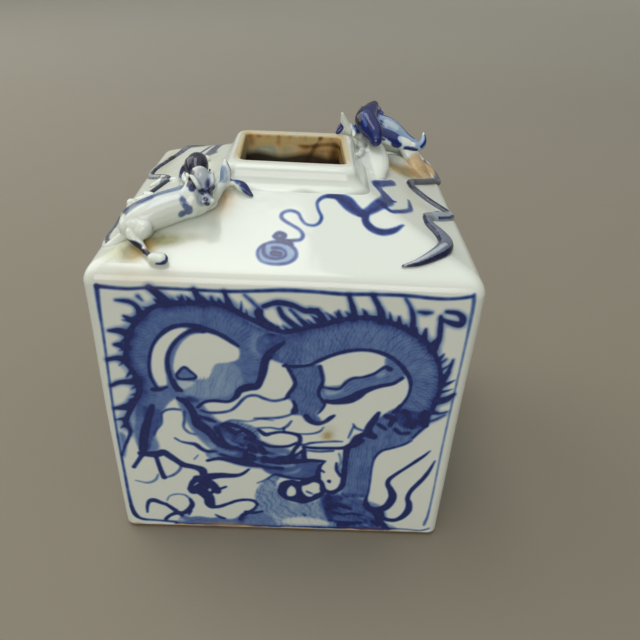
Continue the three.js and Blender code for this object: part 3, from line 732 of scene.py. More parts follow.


# The brushwork was placed one by one. An entry gives a line's tone, or else a kind of work and its numbers,
# in the order of that method's arguments. Points are X from the middle of the face, height, and a line's
# width.

# The dragon on the walls: its body, the white ground inside the loops, the middle, the head, small whites
GROUNDS = """
wash .44: -37.4 36, -36.3 38.4, -34.7 42, -33.3 45.6, -33.2 49, -34.2 52, -35.1 54.7, -34.7 58, -34 61.3,
 -32.4 64.1, -30.3 66.6, -27.9 68.6, -24.4 69.4, -20 69.8, -15 69.9, -11.6 69, -9 67, -6.1 65, -3 63.4,
 0 62.4, 0 60.3, -1.6 59.2, -3.3 57.6, -4.4 54.7, -5 50.4, -6.2 48.2, -9.6 48, -10.7 46, -13 44.2, -18.1 44,
 -20 43.4, -22.6 43.8, -24.2 44.8, -26.2 43.2, -28 40.4, -28.8 37, -31 32.5, -32.4 28.3, -34.4 28, -35.6 31,
 -36.8 34
body .1 .85 .3 .2: -34 40 5, -32 44 5.4, -31.2 49 4.6, -32 54 5, -31.5 59 5, -29 63 5.4, -24.5 66.3 5.6,
 -19 67.2 5.6, -13.5 66 6.4, -9 62.5 8.4, -7.2 57 7.4, -9 51.5 8
body .5 .7 .4 .2 1: -3 60 6.4, 2 59.4 8.6, 7 61 9, 12 62.7 8.8, 18 63.7 8.8, 24 62.2 8.8, 29 58.6 8.8,
 32 53 7.4, 32.4 47 6.8, 30.6 41.5 8.4
wash .5 .2 .24 88 .7: 23 40.6, 26.4 43.4, 30 43, 34.6 42, 34.4 38.4, 33 36, 31.2 34, 30.4 32.6, 27.5 31.2,
 25 30.1, 23.3 28.2, 22.5 26, 22.2 22, 22.1 18, 21.5 14, 15.4 14, 16.2 19, 15.8 24, 16 29, 16.5 32.8,
 17.6 34.8, 19.4 35.2, 20.6 38
wash .24 .4 .2 72 .7: -5 60, -1.5 61.6, 1.6 63, 4.6 63.4, 3.5 58, 1.4 55, -2.6 56.2, -3.8 57.4
bare: -28.4 47.9, -29.5 51, -29.6 55, -28.6 59, -26.5 61.9, -23.6 63.7, -20.8 63.7, -22.6 61.9, -24.8 59.4,
 -26.1 56, -26.5 53, -26.3 50, -26.6 48.3
bare: -24.7 54, -24 57, -22.5 60, -20.5 62, -18 62.8, -15.5 62.8, -13.5 61.6, -11.5 60.2, -9.9 59, -9.8 57,
 -10.4 55.8, -12.5 55, -15 54.6, -15.9 53, -17 50.6, -19.5 50.1, -20.2 51, -22 53.6, -23.5 52.6, -24.5 51.4
bare .75: -24.3 49.8, -22 49.7, -20 49.2, -21.5 47.8, -22.8 47, -23.7 47.8
bare .42 .5: -20.4 49.4, -16.5 52.2, -15.2 54.4, -12 55, -10.4 54, -9 50, -10.8 47.2, -13.4 45.2,
 -18.6 44.8, -22.6 45.8, -21.6 47.8
wash .04 .3 .34 74 .75: -21.6 45.4, -20.4 49.4, -16.4 52.4, -15 54.5, -11.6 54.9, -9.2 50, -11 46.6,
 -14 44.8
bare .8 .3: -36.2 39, -35.4 41.4, -34 44, -33.4 43.6, -34.4 40, -35 36, -36.4 31.5, -38.4 27, -38.8 25.6,
 -37.6 26, -35.6 27.4, -35.2 31
bare .3 .3: -30.6 41, -29.6 41.6, -28.7 39.4, -30 36, -31.2 32.6, -31.6 30, -32.4 31, -31.8 35, -31 38
wash .46 .2 .15 30 .8: 9 50, 8.5 48.5, 9.2 46.5, 10 45, 15 44.7, 17 46.1, 19 48.1, 21.9 49.6, 24.7 50.4,
 26.7 52.1, 27.4 53.9, 25.7 56, 23 57.8, 22.5 57, 22.6 55.5, 20.5 53.5, 18 52.2, 15.5 52, 14 51, 13 49.7,
 10 49.3
bare .55 .3: 9.6 48.3, 12.8 48.2, 13.9 49.6, 13.6 47.9, 11.6 46.8, 9.8 46.8
bare .5 .3: 20.6 53.2, 22.6 54.2, 23 53, 21.4 52.2
wash .5 .2 .14 80 .9: .6 54.8, 2.5 51, 2.6 49.5, 1.5 47, 1.2 45.5, 2.6 44, 3 42, 2 40.6, 4.5 40.3, 5.5 38.8,
 7.3 38, 9.2 38, 9 39.5, 8 41, 9 42.5, 10 44, 9.2 45.5, 8.6 47.5, 9 50, 8.7 52, 8.3 54.5, 7 55.3
wash .42 .3 .2 50 .9: -15.6 37, -12 38, -8 37, -6 35.4, -5 31, -4 28, -5 23.6, -9 23.6, -14 24.9, -18 26,
 -18.5 28, -16 29.6, -15.2 33, -16.4 35.4
wash .56 .3: -4.5 29, -2 28, 2 27.6, 6 29.6, 5.6 26, 9 26, 9.6 23, 8.4 19.6, 4 19.4, 0 19.8, -4 21.4, -5 24
wash .36 .3 .2 66 .8 120 1.6: -2.2 20.6, -4.6 18.2, -6.2 15.5, -6.9 13, -6.8 11, -6.2 9.6, -7 8, -9 6.9,
 -10.6 5.4, -11 3, -10 1.8, 28 1.6, 27 5, 26.3 8.4, 23 9, 21.4 11.6, 21.5 14.5, 15.4 15, 11 15.4, 9 11.6,
 4 10.6, 1 12, -1 14.5, -1.2 18, 0 20.6
wash .5 .3 .14 8 1.1: -28 1.8, -27 4, -25.6 5, -24 4.4, -22 4.8, -19 4.3, -16 4.5, -14 4, -12 4.5, -10 6.4,
 -7 7, -4 6.6, -2 4, -2 1.7, -14 1.6
wash .3 .5: 13 2, 13.4 5, 14 9, 15.4 13.6, 11 14.6, 10.2 11, 11.2 8, 11.8 4.6
wash .4 .5: 15 1.8, 14.6 4, 18 4.6, 22 3, 26 4.8, 27.6 1.9
bare .8 .5: .6 4.9, 5 5.6, 10 5, 12.6 4, 12 2.7, 1 2.6
bare .6 .3: -30 3, -27.6 4.4, -25.4 3, -27.6 2.6
bare .4 .5: 15 12, 17.6 13.8, 18.2 12, 16 10.8
bare .4 .5: 16.8 9.6, 18.8 9.4, 18.6 7.6, 16.6 7.6
bare .45 .4: 22.4 8.4, 25.4 8, 25 6.4, 22.6 6.6
bare .4 .4: 14.4 5.6, 17.4 5.6, 18.6 4.6, 15.4 4.2
bare .6 .3: -14.7 34.2, -12.6 34.6, -12 32.6, -13.4 31.2, -14.7 32.4
bare .5 .3: -10.8 32.9, -9.4 33.4, -8.9 32, -10 30.8, -11.3 31.5
bare .35 .5: -17.4 27.8, -11 28.6, -9.4 26.6, -12 25.4, -17.6 26.2
bare: -3.5 31.9, -2 33.7, 0 34.2, 2.4 33.2, 3 31.8, 1.4 31, -1 30.7, -3 31.1
bare .7: -2.7 29, 0 29.5, 2.4 29.2, 2 28.1, 0 27.9, -1.6 28.1
bare .45 .3: 0 21, 3 22, 4.6 23.3, 4.4 22, 2 20.9
bare .5 .2: 3.2 29, 4.4 29, 4.8 27.4, 3.4 27.6
bare: 6.5 27.9, 8 28.2, 10.5 27.8, 12.5 28.8, 14.3 29.3, 14.9 28, 13.6 26.5, 13.2 24, 13.4 22, 14.2 19.5,
 14 17.2, 12.6 16.3, 11.4 17, 11.8 18.3, 10.3 19.5, 9.8 21, 10.2 22.5, 9.6 24.2, 10.5 25.6, 9 26.3, 7.2 26.4
"""

# The dark, wet tangle of beard and claws in the lower left
TANGLE = """
wash .34 .5: -24.5 44, -20.5 45, -15.5 38.5, -9 34, -3 31, 2 29, 3 25, -4 22.6, -12 24, -17 28.5, -21.5 35
wash .3 .8: 10 12.5, 14 14, 20 13, 26 10.5, 27 5, 20 3.6, 12 6
wash .3 .6: -32.6 42, -28.8 41, -29 37, -30.4 33.4, -29.8 29.6, -31 27.8, -33.4 28, -32.4 34
wash .34 .5: -38.9 34, -37.6 32.4, -38 28, -39 25.4
bare .35 .5: -10 2, -9 6, -5 7, -1 6, 0 3, -2 1.8
bare .15 .8: -5 62, -3 59, 0 56, 3 57, 4 61, 2 63, -2 62.6
bare .22 .9: -7.8 59.6, -6.8 63, -4.2 63.8, -3.2 60, -4.6 57.2, -6.8 57.4
"""

# The heavy outline of the two loops' back
BACK = """
-37 35.6 1.6, -37 37.4 1.8, -35.8 40 1.6, -34.4 43 1.7, -33 46 1.9, -32.9 49 1.8, -34 52 1.5,
 -35.2 54.8 1.5, -34.7 58 1.3, -34.1 61.3 1.5, -32.4 64.3 1.7, -30.2 66.9 1.6, -27.8 68.9 1.5,
 -24.4 69.8 1.7, -20 70.2 1.5, -15 70.3 1.5, -11.4 69.3 1.7, -8.8 67.6 1.6, -6 66.1 1.7, -3 64.6 1.7,
 0 63.8 1.5, 2.6 64.4 1.6, 5 65.2 1.6, 8 65.9 1.5, 11.4 67.1 1.5, 15.6 68 1.3, 19.4 68 1.5, 24.6 66.4 1.5,
 29 63.9 1.5, 32 61.4 1.3, 33.8 58.4 1.2, 35.1 55.3 1.1, 36 50.6 1.2, 35.8 47.4 1.3, 35.1 43.6 1.2,
 33.7 40.4 1.5
"""

# Outlines of the loops, blotches where the neck folds, and the fins and flames round the back
OUTLINES = """
.97: 33.4 42.4 1.6, 33.4 40.4 2.6, 34 38.6 1.8
.3: -21 40 1.4, -19 36.8 2, -16.6 33.6 1.4
.25: -15.4 32.4 1, -12.8 30.6 1.4, -10 28.8 1
.5: -15 27.2 .6, -11.6 25.8 .9, -8 25.4 .6
.9: -21.4 18.8 2.2, -19.6 18 2.8, -17.6 16.4 2.6, -16.4 14.2 2
.45: 12 9 1.2, 15 10.5 1.8, 18 9.2 1.2
.5: 21.6 11 1.2, 24.6 8 1.8, 25.6 5 1.2
.5: 12.6 4.8 1, 17 3.8 1.4, 21 4.2 1
.75: -36.9 36 1, -36.2 34.4 .9, -37 31.8 .8, -38.4 28.6 .6, -39.2 26 .4
.8: -30.3 42 1.2, -31.3 39 1.6, -32.3 36 2, -33.2 32.4 2.2, -33.9 28.4 2.2
.86: -24.2 44.5 1, -22.6 43.5 1.5, -21.3 41.5 1.7, -20.6 39 1.9, -20 36.8 2.4, -18.4 35.4 2.6, -17 33.8 2.2,
 -16 31.6 1.7, -14.8 30.2 1.3, -12.6 29.6 1.1, -10.6 29.7 .9
.6: -28.3 39.9 .5, -27.2 40.9 .6, -25.5 41.3 .7, -23.8 41.1 .6
.5: -28.3 39.4 .5, -28.6 36.8 .6, -29.8 35 .5, -30.7 33 .5
.5: -23 40.6 .6, -23.1 38 .7, -23.4 35.8 .7, -22.3 34.1 .7, -20.8 33.5 .5
.74: -28.7 47.2 .7, -29.9 50.5 .7, -30 54 .7, -29.2 58 .7, -27.3 61.4 .9, -24.5 63.8 1.1, -21.5 64.6 1,
 -18.5 64.2 1.4, -16.2 63.4 1.3, -14 62.5 1.1, -12 61.2 1, -10 59.6 .7
.66: -24.2 46.9 1, -25.2 49.5 1.1, -25.9 53 1.1, -25.8 56 1.1, -24.6 59 1, -22.5 61.6 1, -19.9 63.2 1.3,
 -17.4 63.2 1.1
.9: -29.8 46.9 1, -28 47 .9, -26.5 47.7 .6
.9: -24.9 49.6 .9, -24.4 47.9 1.2, -23.3 46.8 .9
.9: -24 51.5 .5, -22.3 53.4 .6, -20.9 52.3 .6, -19.7 50.7 .6, -21.6 50.1 .6, -23.6 50.2 .5, -24.1 51.3 .5
.9: -19.7 42 .8, -18.2 43.5 .9, -16 44 .8, -12.6 43.9 .9, -10.7 45.4 1.3, -9.8 47.3 1.8, -7.6 48.3 2.2,
 -6 48.6 1.9, -5.1 50.4 1.6, -4.5 53 1.9, -4 56 1.9, -3 58 1.6, -1.5 59.7 1.2, 0 60.9 .6
.62: -19.2 41.1 .5, -17 40.4 .8, -14 40.6 .8, -12 41.3 .8, -10.5 42.8 .8, -9.2 44.6 .8, -7.9 45.7 .8,
 -6 45.9 .8, -4 45 .8, -2 44.5 .8, 0 45 .8, 1.6 45.8 .5
.62: -19.8 39.4 .8, -17.5 38.4 1.4, -15.8 37.6 .8
.8: .4 55.1 .5, 1.3 53.5 .8, 2.6 50.6 .9, 2.6 49 .9, 1.4 46.8 .9, .6 45.2 .5
.92: 2.5 44.6 .6, 3 43 1, 2.8 41.5 1.8
.75: 8.2 54.8 .9, 8.9 52 1, 9 50.3 .9, 8.4 48.5 .9, 8.3 46.8 .9, 9.3 45 .7, 9.8 43.8 .6, 9.2 42.3 .6,
 8.3 41 .4
.86: 5.6 40.2 1.3, 6.8 38.6 1.4, 8.6 38 1.2, 10.2 38.7 1.1, 11.3 39.8 1.2, 12.2 40.6 .7
.85: 0 54.7 .7, 2.6 54.6 .8, 5.6 55.1 .8, 7.6 56.2 .9, 10.4 57.8 .8, 13.3 59 .8, 16.1 59.6 .7, 19.9 59.5 .8,
 23.3 58.2 .9, 25.9 56.2 .9, 27.6 54 1, 28.8 51.6 .9, 29.1 49 .6, 28.6 46.4 .6, 27.4 44 .8, 26 42.2 .8
.92: 9.6 44.9 1, 12 44.7 1.4, 15 45.4 2.3, 17 46.6 2.4, 19 48.3 1.6, 22 49.7 1, 25 50.6 .8, 27 52.3 .9
.72: 9 49 .4, 11 48.6 .5, 13 48.7 .5, 14.2 50.4 .6, 15.8 51.8 .6, 18 52.2 .6, 20.6 53.4 .7, 22.6 55.2 .8,
 24 54.6 1.2
.95: 22.6 41.8 1, 21.7 39.6 1.7, 20.7 37.4 1.9, 20.7 35.4 2.4, 22.2 34.4 1.6
.9: 19.4 35 1.4, 18 33.6 1.8, 17.2 31.8 1.7, 15.9 30.4 1.7, 15.7 27 1.5, 15.6 24 1.5, 15.6 21 1.5,
 15.4 18 1.6, 14.4 16 1.4, 12.6 15 1.3, 10.9 15.8 1.2, 10.2 18 .9
.6: 19.4 36.2 .5, 17.6 37 .7, 16.8 38.3 .4
.55: 17.1 37.8 .3, 16.6 36 .6, 16 33.8 .5
.66: 31.3 33.6 .6, 29.5 32.2 .7, 26.5 30.8 .6, 24.5 30 .7, 23 27.9 .6, 22.4 25 .6, 22.3 20 .5, 22.1 15.6 .6,
 21.6 12.6 .8
.6: 33.8 38 .8, 32.6 36.2 .7, 31.4 34.2 .7
.6: 24.4 41 1.4, 26.2 40.2 1.6, 25.6 38.2 1.2
.5: 28.6 42.8 1.2, 30 40.8 1, 29.4 38.8 1.2
.55: 22.8 38.4 1, 24.6 37 1.2
.6: 27 37 1.2, 28.4 35.8 1.1, 30.4 36 1.2
.5: 31.4 39.8 1.2, 31 37.6 1.1
.7: 26.6 42.6 .9, 27.4 44.2 1
.6: 17.6 31.4 1.4, 19.2 33 1.6
flame .9: -33.8 61.8 1.4, -35.6 62.6 1.1, -38 62.6 .5
flame .9: -34.4 58.2 1.1, -36 58.9 1, -37.2 59 .5
flame .85: -35 55 1.3, -37 55.4 1, -39.2 54.9 .7
flame .82: -33 49 1.5, -35.5 48.9 1.1, -37.4 48.6 .8, -39.2 47.6 .6
flame .7: -34.6 43 1.3, -36.2 42 .9, -39.2 41 .6
flame .9: -31 66.3 1.1, -32.6 65.6 .9, -34.3 66.4 .4
flame .8: -30.7 67.2 1, -31.4 69 .8, -32.8 70 .8, -35.6 70.3 .4
flame .6: -30 70.4 .3, -30.8 71.4 .6
flame .93: -24.8 70 1.6, -26.3 71.8 1.3, -28.3 73.6 1
flame .7: -21.2 70.4 .6, -21.6 71.8 .4
flame .9: -17.6 70.3 1.2, -18.3 72 1, -19 73.6 .6
flame .6: -15 70.2 .7, -15.4 71.8 .4
flame .86: -11.4 69.5 1.1, -12 71.4 .7, -12.7 73.4 .5
flame .5: -5.6 69.6 .5, -7 71.2 .5, -8.4 72.6 .4
flame .85: 14.9 67.9 1.1, 14.5 70 .9, 13.4 73.4 .6
flame .8: 11.9 67.4 .8, 11.4 69.4 .4
flame .7: 17.4 68 .6, 17 69.6 .3
flame .88: 20.8 67.4 1.3, 20.4 69.8 1, 18.4 73.6 .7
flame .85: 24.6 66.4 .8, 24.4 68.6 .3
flame .7: 27.6 65 1.2, 27.4 68.4 .9, 26.6 71 .6, 25.3 73.2 .4
flame .9: 30.4 62.8 1, 30.5 65.8 .3
flame .84: 32.6 60.8 1.6, 33.6 63.4 1, 33.5 66.6 .8, 33.2 69.2 .5
flame .88: 33.2 68.6 .5, 35.4 67.7 .9, 37.6 67.3 1.1, 38 68.8 1, 36.7 70.1 .8, 34.3 70.4 .6
flame .55: 28.4 70.1 .5, 29.8 69.9 .8, 31.2 70 .5
flame .8: 36 50.6 .6, 36.8 53.4 .8, 37.2 55.6 .6, 37.6 58 .3
flame .6: 35 57 .5, 36 58 .4
flame .93: 35.8 46 1.4, 37.6 46.6 1.2, 39.4 48.3 .5
flame .6: 35.2 42.8 1, 36.8 42.4 .6, 38.6 43 .3
flame .5: 34 39.6 .6, 36 40.4 .6, 38.2 42 .4
flame .86: -4.4 70 .8, -1.6 71 .9, 1.6 70.5 .9, 4.4 69.2 .9, 7 69.6 .5
flame .95: -5.4 68.4 1.6, -4.6 66.6 1.6, -3 65 1.6
flame .85: -1.2 69.6 .7, -.2 67.6 .9, 1.4 66.2 1, 3 65 1
flame .75: 1.2 69.4 .5, 3 67.4 .6, 4.8 65.6 .8
flame .8: 5.4 69.4 .9, 7.4 68.6 1, 8.2 67 1.3
"""

# Lines of the head, light streaks in the beard, the claws, and the frame
DETAILS = """
bare .9: -4.4 69.2, -3 68.8, -.8 66.6, -.8 65.2, -3 66, -4.6 67.6
bare .6: .6 69, 1.6 68.4, 4.2 65.4, 3.6 65, 1.4 67
.86: -14.2 36.6 1, -12.4 36.9 1.2, -10.4 36.2 1
.86: -12.8 35.6 .9, -11.3 34.4 1, -9.6 34.9 .7
.9: -9.6 35.7 1, -8 34.4 1.5, -6.6 33 1.2
.86: -8.8 32.6 .9, -7 32 1.1, -5.8 31.3 .9
.92: -7.8 30.2 1.2, -7 28.4 1.7, -7.3 26 1.7, -7.6 24.2 1.2
.7: -9.8 30.2 .9, -8.9 28.2 1, -9 26.2 .7
.86: -12.4 29.5 .8, -10 29 .9, -8 28.8 .9
.85: -15.8 35.6 1.2, -14.6 32.8 .9, -13 30.6 .9
.88: -18.4 25 .8, -15.5 25.7 1, -13 25.1 1, -10.5 24.3 1.1, -8 23.8 1.4, -5.4 23.9 1.6, -2.6 23.2 1.4,
 0 22.8 1.2
.88: -5.6 35.4 .8, -4 34 1.2, -2.5 34.4 .9, -.5 34.9 .8, 2 34.7 .8, 3.9 34 1, 4.4 32.8 1.1, 4 31 1.1,
 3 29.2 1, 2.4 27.4 .8
.92: -4.9 31.2 .9, -3.3 30.3 .8, -1 30.1 .8, 1.5 30.4 .8, 3.2 31.3 .7
.92: -5.2 30 1.1, -4.3 27.4 1.5, -4.5 24.8 1.2
.88: -3 27.3 .7, 0 26.8 1.2, 2 26.6 1.1, 3.6 27.6 .7, 5 29 .6
.84: -3.6 25.4 1.4, 0 25 1.6, 4 25.4 1.4, 7 25.9 1.1, 10 25.8 .9
.9: 5.4 29.6 .9, 5.4 27.6 1.2, 5.8 25.8 1
.9: 10.6 25.8 .7, 9.6 24.2 .8, 9.1 22 1.2, 9.3 19.6 1.2
.66: -1.6 20.6 .9, 3 19.4 .9, 7 19.5 .9, 8.6 20.6 .8
.36: -2 38.4 .3, -5 38.9 .7, -8 38 .6, -12 38.2 .7, -14.2 37 .5
.5: -6.6 39 .5, -4 39.1 .8, -1 39.4 .8, 1.4 40.2 .7, 2.8 41.2 .4
.62: -6.2 35.9 .5, -3 36.2 .5, -.4 35.9 .6, 1.2 36.9 .8, 2.2 38.5 .5
.62: .4 36.3 .5, .6 35.1 .6, 2 34.7 .5, 4.4 34.5 .5, 7 34.7 .5, 9 35.5 .6, 9.9 36.9 .4
.62: 3.4 31.6 .7, 5.2 31 .8, 7 31.7 .7, 10 32.2 .6, 12.4 32.5 .6, 14.6 32.5 .4
.86: 5.2 30.3 .8, 8 30.1 .9, 11 30.2 .9, 14.5 30.4 1, 16 31 .9
.6: 6.4 29.2 .5, 9 29 .8, 12.5 29.4 .7
.34: 14 28.6 .6, 14.6 26 .8, 14.2 24 .8, 14.9 22.6 .5
.86: 13.5 25.4 .5, 13.7 23 .9, 14.8 21 1
.85: 11.9 19 1, 12.1 18.6 .6
.7: 9.9 22.6 .7, 10.6 22 .5
.4: -20.6 26.8 .4, -21.6 25.4 .5
.74: -25.8 32.3 .4, -24.4 31.2 .5, -22.6 30.7 .8, -21 30.3 1.2, -19.7 29 1.2, -18.2 28.1 1, -16 28.2 .7
.6: 11.8 13.4 1.8, 12.4 10.6 1.6
.62: 14 7.6 .9, 16 7 .9, 18.4 7.6 .8, 21 7 .6
.4: 5.6 6.9 .6, 6.2 6.2 .9
.7: -9.4 6.9 1, -7.4 6.6 1, -5 7.2 .7
.5: -6.2 17.4 .5, -4.2 18.6 .5, -2.2 20.4 .7
bare .6 .3: -9 28.7, -6 27.7, -3 27.5, 1 27.9, 1 27, -3 26.6, -6.4 26.8
bare .55 .3: -8.6 25.7, -5 24.7, -1 24.1, 3 24.5, 3 23.6, -1 23.1, -5.4 23.7
bare .5 .3: -14.4 33, -12.6 31.6, -10 30.1, -8.4 29.6, -8.8 28.8, -11 29.4, -13.6 31
bare .4 .4: -18 31.6, -16 29.8, -13.4 28.4, -11 27.8, -11.6 27, -14 27.4, -17 28.8
wash .9 .15: -.5 17.5, -1 14.5, .5 12.3, 3 11.2, 5.5 10.6, 8 11.6, 10 13.2, 10.9 15, 10.6 18, 9.5 19.4,
 6 19.3, 4.4 18.4, 3 18.8, 1 18.5
bare: 2.4 17.1, 3.5 16, 3.8 14, 3 13, 1.6 12.9, 1.1 14, 1.5 15.8
bare: 5 16.9, 6.5 17.5, 8 18.5, 9.6 17.9, 9.8 16, 9.8 14.7, 8.5 14.1, 7.6 13, 6.2 13.3, 5.1 15
.6: 6.4 15 .6, 7 14.6 .7, 7.8 14.2 .5
.92: -34.6 27 1.6, -32 26.8 2, -30.4 27 2.1, -28.9 27.5 2, -27.4 26.2 1.9, -25.4 24.3 1.6, -24.2 23.4 1.7,
 -22 22.8 1.6, -20 21.8 2.2, -19.6 20.2 2
.85: -34 27 1.3, -35.3 24.8 1, -36.8 22.3 1.1
.92: -31 26.8 1.2, -30.6 24 1.1, -30.1 21 1.2, -29.6 19 1.5
.5: -26 25 .8, -25.1 23.2 .8, -25.6 21.6 .8, -27.2 19.9 .8, -29.2 18.9 .5
.36: -37 17.6 .4, -34 16.9 .8, -31.9 18 .8, -31 20 .5
.88: -35.2 5.8 .5, -35 8 .8, -34.3 10 1.1, -33 10.5 1.5, -31.4 9.7 1.2, -30 9 1.1, -28.7 7.8 1.2,
 -27.4 6.3 1.3, -26.2 5 1
.42: -29.6 10.6 .4, -28.8 12.2 .5, -27 13 .6, -25 12.8 .6, -23.8 11.6 .7
.84: -23.6 11.2 .8, -23.2 9.4 1.4, -24 7.6 1.5, -25.6 6 1.4, -27.6 5.8 1.3, -29.4 4.8 1, -30.6 3.4 1
.4: -29.8 9.6 .4, -29 8 .5, -27.4 7.2 .5
.96: -23.5 15 1.2, -22.4 17.6 1.6, -20.4 18.8 2.2, -18.4 19.4 2.4, -15.4 19.9 1.9, -12 19.9 1.3, -10 20.5 1,
 -8.2 22.2 .5
.97: -22.6 14.4 2.6, -20.8 15.2 3.6, -19.4 16.6 3.4
.97: -20.4 14.2 3.2, -18.8 12 3, -18.6 9.8 2.9, -18 8.6 1.6
.9: -18.2 13.6 1, -16.8 14.6 1.1, -14.2 15.9 .6
.84: -18.6 8.5 .9, -16.4 8.6 1.2, -14 9.7 1, -11.5 10.9 .9, -9 11.3 .9, -7.2 10.9 .9, -6.3 9.8 .8
.72: -6.3 9.8 .8, -7 8.2 .9, -8.6 6.8 1, -10.2 5.6 1.1, -11 4 .8
.8: -17.4 5.6 .4, -16.4 4.8 .8, -15 4.2 .6
.6: -24.4 5.4 .8, -23.6 6.8 .6
.95: 22 11.6 1.2, 22.6 10 1.9, 24.8 9.3 2.2, 27 10.4 2.3, 28.1 12.4 2.4, 28.5 14.6 2.2, 27.8 16.8 1.7,
 26.9 18.6 1.3, 27 20.3 1.1, 28.6 22.3 .9, 31 24.7 .8, 33.4 27.2 .9, 34.9 28.8 .7, 36.2 30.5 .3
.88: 26.2 8.2 1.2, 26.6 6.7 1.2, 28 5.7 1.3, 30 5.7 1.4, 31.8 7.1 1.7, 33 9.5 2, 33 12 1.7, 32.4 14 1.2,
 32.9 16.5 1.1, 34.3 19 1.3, 35.6 21.2 1.1, 36.8 24 .9, 37.8 27.3 .3
.86: 25.3 6.4 1.3, 26.4 4.6 1.5, 27.5 3 1.4, 28.4 1.8 1
.8: 21.8 13 .9, 21.6 11 1.1
.5: 24 4.8 1.2, 25.6 3.4 1.2
.5: 17.4 3.4 1.6, 15 3 1.4
.7: -39.1 73.5 1, -33 73.1 .8, -28 73.5 .7, -20 73.4 .7, -12 73.3 .8, -5 73.7 .8, 0 74 .9, 6 73.9 .8,
 12 73.6 .9, 18 73.8 .8, 25 73.9 .8, 32 73.5 .8, 36 73.7 .7, 39.3 74.3 .7
.66: -39.1 73.6 1.1, -39.2 71 1, -39.3 67 .7, -39.3 60 .5, -39.4 50 .5, -39.5 40 .5, -39.5 30 .6,
 -39.4 20 .7, -39.3 12 .9, -39 7 1.1, -38.3 4.4 1.2, -36.6 3.1 1, -33 2.8 .7, -28 2.4 .9
.8: -39.2 8 .8, -38.7 5.4 1.2, -38 4 1
.5: 39.5 74.6 .9, 39.7 71 .8, 39.6 62 .5, 39.4 50 .4, 39.2 40 .4, 38.9 28 .4, 38.7 16 .4, 38.4 8 .6,
 38 5.4 .9, 37.8 4 .6
.5: 28.4 2.3 .7, 33 2.2 .5, 37 1.9 .5, 39.4 2.8 .5
.66: -28 1.7 .9, -14 1.6 1, 0 1.7 .6, 12 1.9 .7, 20 1.8 1, 27 1.8 .9
"""

# The flaming pearl and its ribbon on the front slope: X, then Y, seen in plan
PEARL = """
wash .2 .3: -5.4 -34.4, -5.8 -36.4, -4.4 -38, -2 -38.4, .6 -38, 1.7 -36.4, 1 -34.2, -1.2 -33.2, -3.6 -33.4
.66: -1.2 -32.8 .9, -3.5 -33 .8, -5.6 -34.3 .7, -6.1 -36.2 .6, -5 -38 .6, -2.5 -38.6 .7, .3 -38.2 .8,
 1.9 -36.8 .9, 1.9 -35 .8, .6 -33.5 .8, -1 -32.9 .8
.74: -4.9 -33.8 .7, -4.9 -35.6 .8, -3.9 -36.9 .8, -1.8 -37.2 .7, -.3 -36.5 .6, -.3 -35.3 .6, -1.4 -34.5 .8,
 -3 -34.4 .9
.96: -2.8 -35.8 1.5, -1.5 -36 1.5
.86: -2.8 -31.3 1, -1.9 -30.4 1.2, -.7 -31 1.2, -1.4 -31.9 1.1, -2.5 -31.6 1
.8: -2 -32.4 1, .2 -32.6 1.1, 1 -33.4 .9
.6: -.3 -32.6 .8, 1.2 -32.3 .9, 2.8 -32 .9, 3.3 -30.8 .9, 2.6 -29.4 .8, 1 -28.2 .8, -.6 -27.1 .8,
 -1.6 -26 .9, -1.3 -24.7 .9, .3 -24 .9, 2 -24.6 .8, 2.8 -26.2 .7, 3.8 -27.6 .7, 5.5 -28 .7, 6.8 -27.2 .8,
 7.3 -25.5 .8, 6.6 -23.5 .7, 6.3 -21.5 .8, 7.2 -20 1, 8.6 -19.3 1.2, 10.4 -19.2 1.4
.6: 9 -19.3 1.2, 11 -19.4 2.2, 12.8 -20.6 3.8, 14.2 -22.4 3.6, 15.8 -23.8 2.7, 17.2 -24.6 1.8
.25: 11.8 -19.9 .9, 13.2 -21.2 1.2, 15 -23.4 1, 17 -24.8 .9
.58: 16 -24.2 1.6, 18 -23.2 2.6, 20 -21.4 3.4, 21.7 -19 3.8, 22.7 -16.2 3.6, 22.6 -13.8 3, 21.8 -11.8 2.6,
 21 -10 2.5, 20.9 -8 2.9, 21.9 -5.8 3.2, 23.6 -3.4 3, 25.2 -1 2.6, 25.8 1 1.4
.25: 17.6 -24 .8, 20 -22 1, 21.8 -19.4 1, 22.8 -16 .8
.6: 21.8 -21.4 1.4, 23.4 -22.4 1.5, 25.2 -20.7 1.5, 27 -18.2 1.5, 28.4 -15.6 1.3, 28.8 -12 1, 28.9 -8.6 .6
.6: 22.4 -16.8 1.2, 24 -15.6 1, 25 -14.4 .5
.66: 17 -24.8 1.7, 17.3 -26.8 1.9, 18.8 -28.5 2, 21 -29.1 2, 23.4 -28.4 1.5, 25.5 -26.7 .5
.25: 17.6 -26.6 .7, 19.2 -28.2 .9, 21.6 -28.8 .8
bare .4: 9.4 -19.9, 10.4 -20.5, 11 -21.6, 10 -21.4
"""


def paint_dragon():
    s = Sheet(-42.5, 42.5, 0, 79, seed=7)
    s.paint(GROUNDS)
    s.ink *= FAINT
    s.paint(TANGLE)
    s.line(BACK, 0.2, 2.4, 0.8)
    s.thorns(BACK, 2.5, 2.1, 0.74)
    s.line(BACK, 0.84, 0.74)
    s.paint(OUTLINES)
    s.paint(DETAILS)
    return s.finish()


def paint_pearl():
    s = Sheet(-42.5, 42.5, -42.5, 3, seed=5)
    s.paint(PEARL)
    return s.finish()


dragon = paint_dragon()
pearl = paint_pearl()


def blots(x, y, spots):
    """Soft blotches of staining, and on the front slope one of painted shadow, each x, y, reach along x and
    along y, strength and hue, and their mean hue.
    """
    amount, hue = np.zeros(x.shape), np.zeros(x.shape)
    for px, py, rx, ry, strength, colour in spots:
        spot = strength * np.exp(-(((x - px) / rx) ** 2 + ((y - py) / ry) ** 2))
        amount += spot
        hue += spot * colour
    return np.clip(amount, 0, 1), hue / np.maximum(amount, 1e-6)


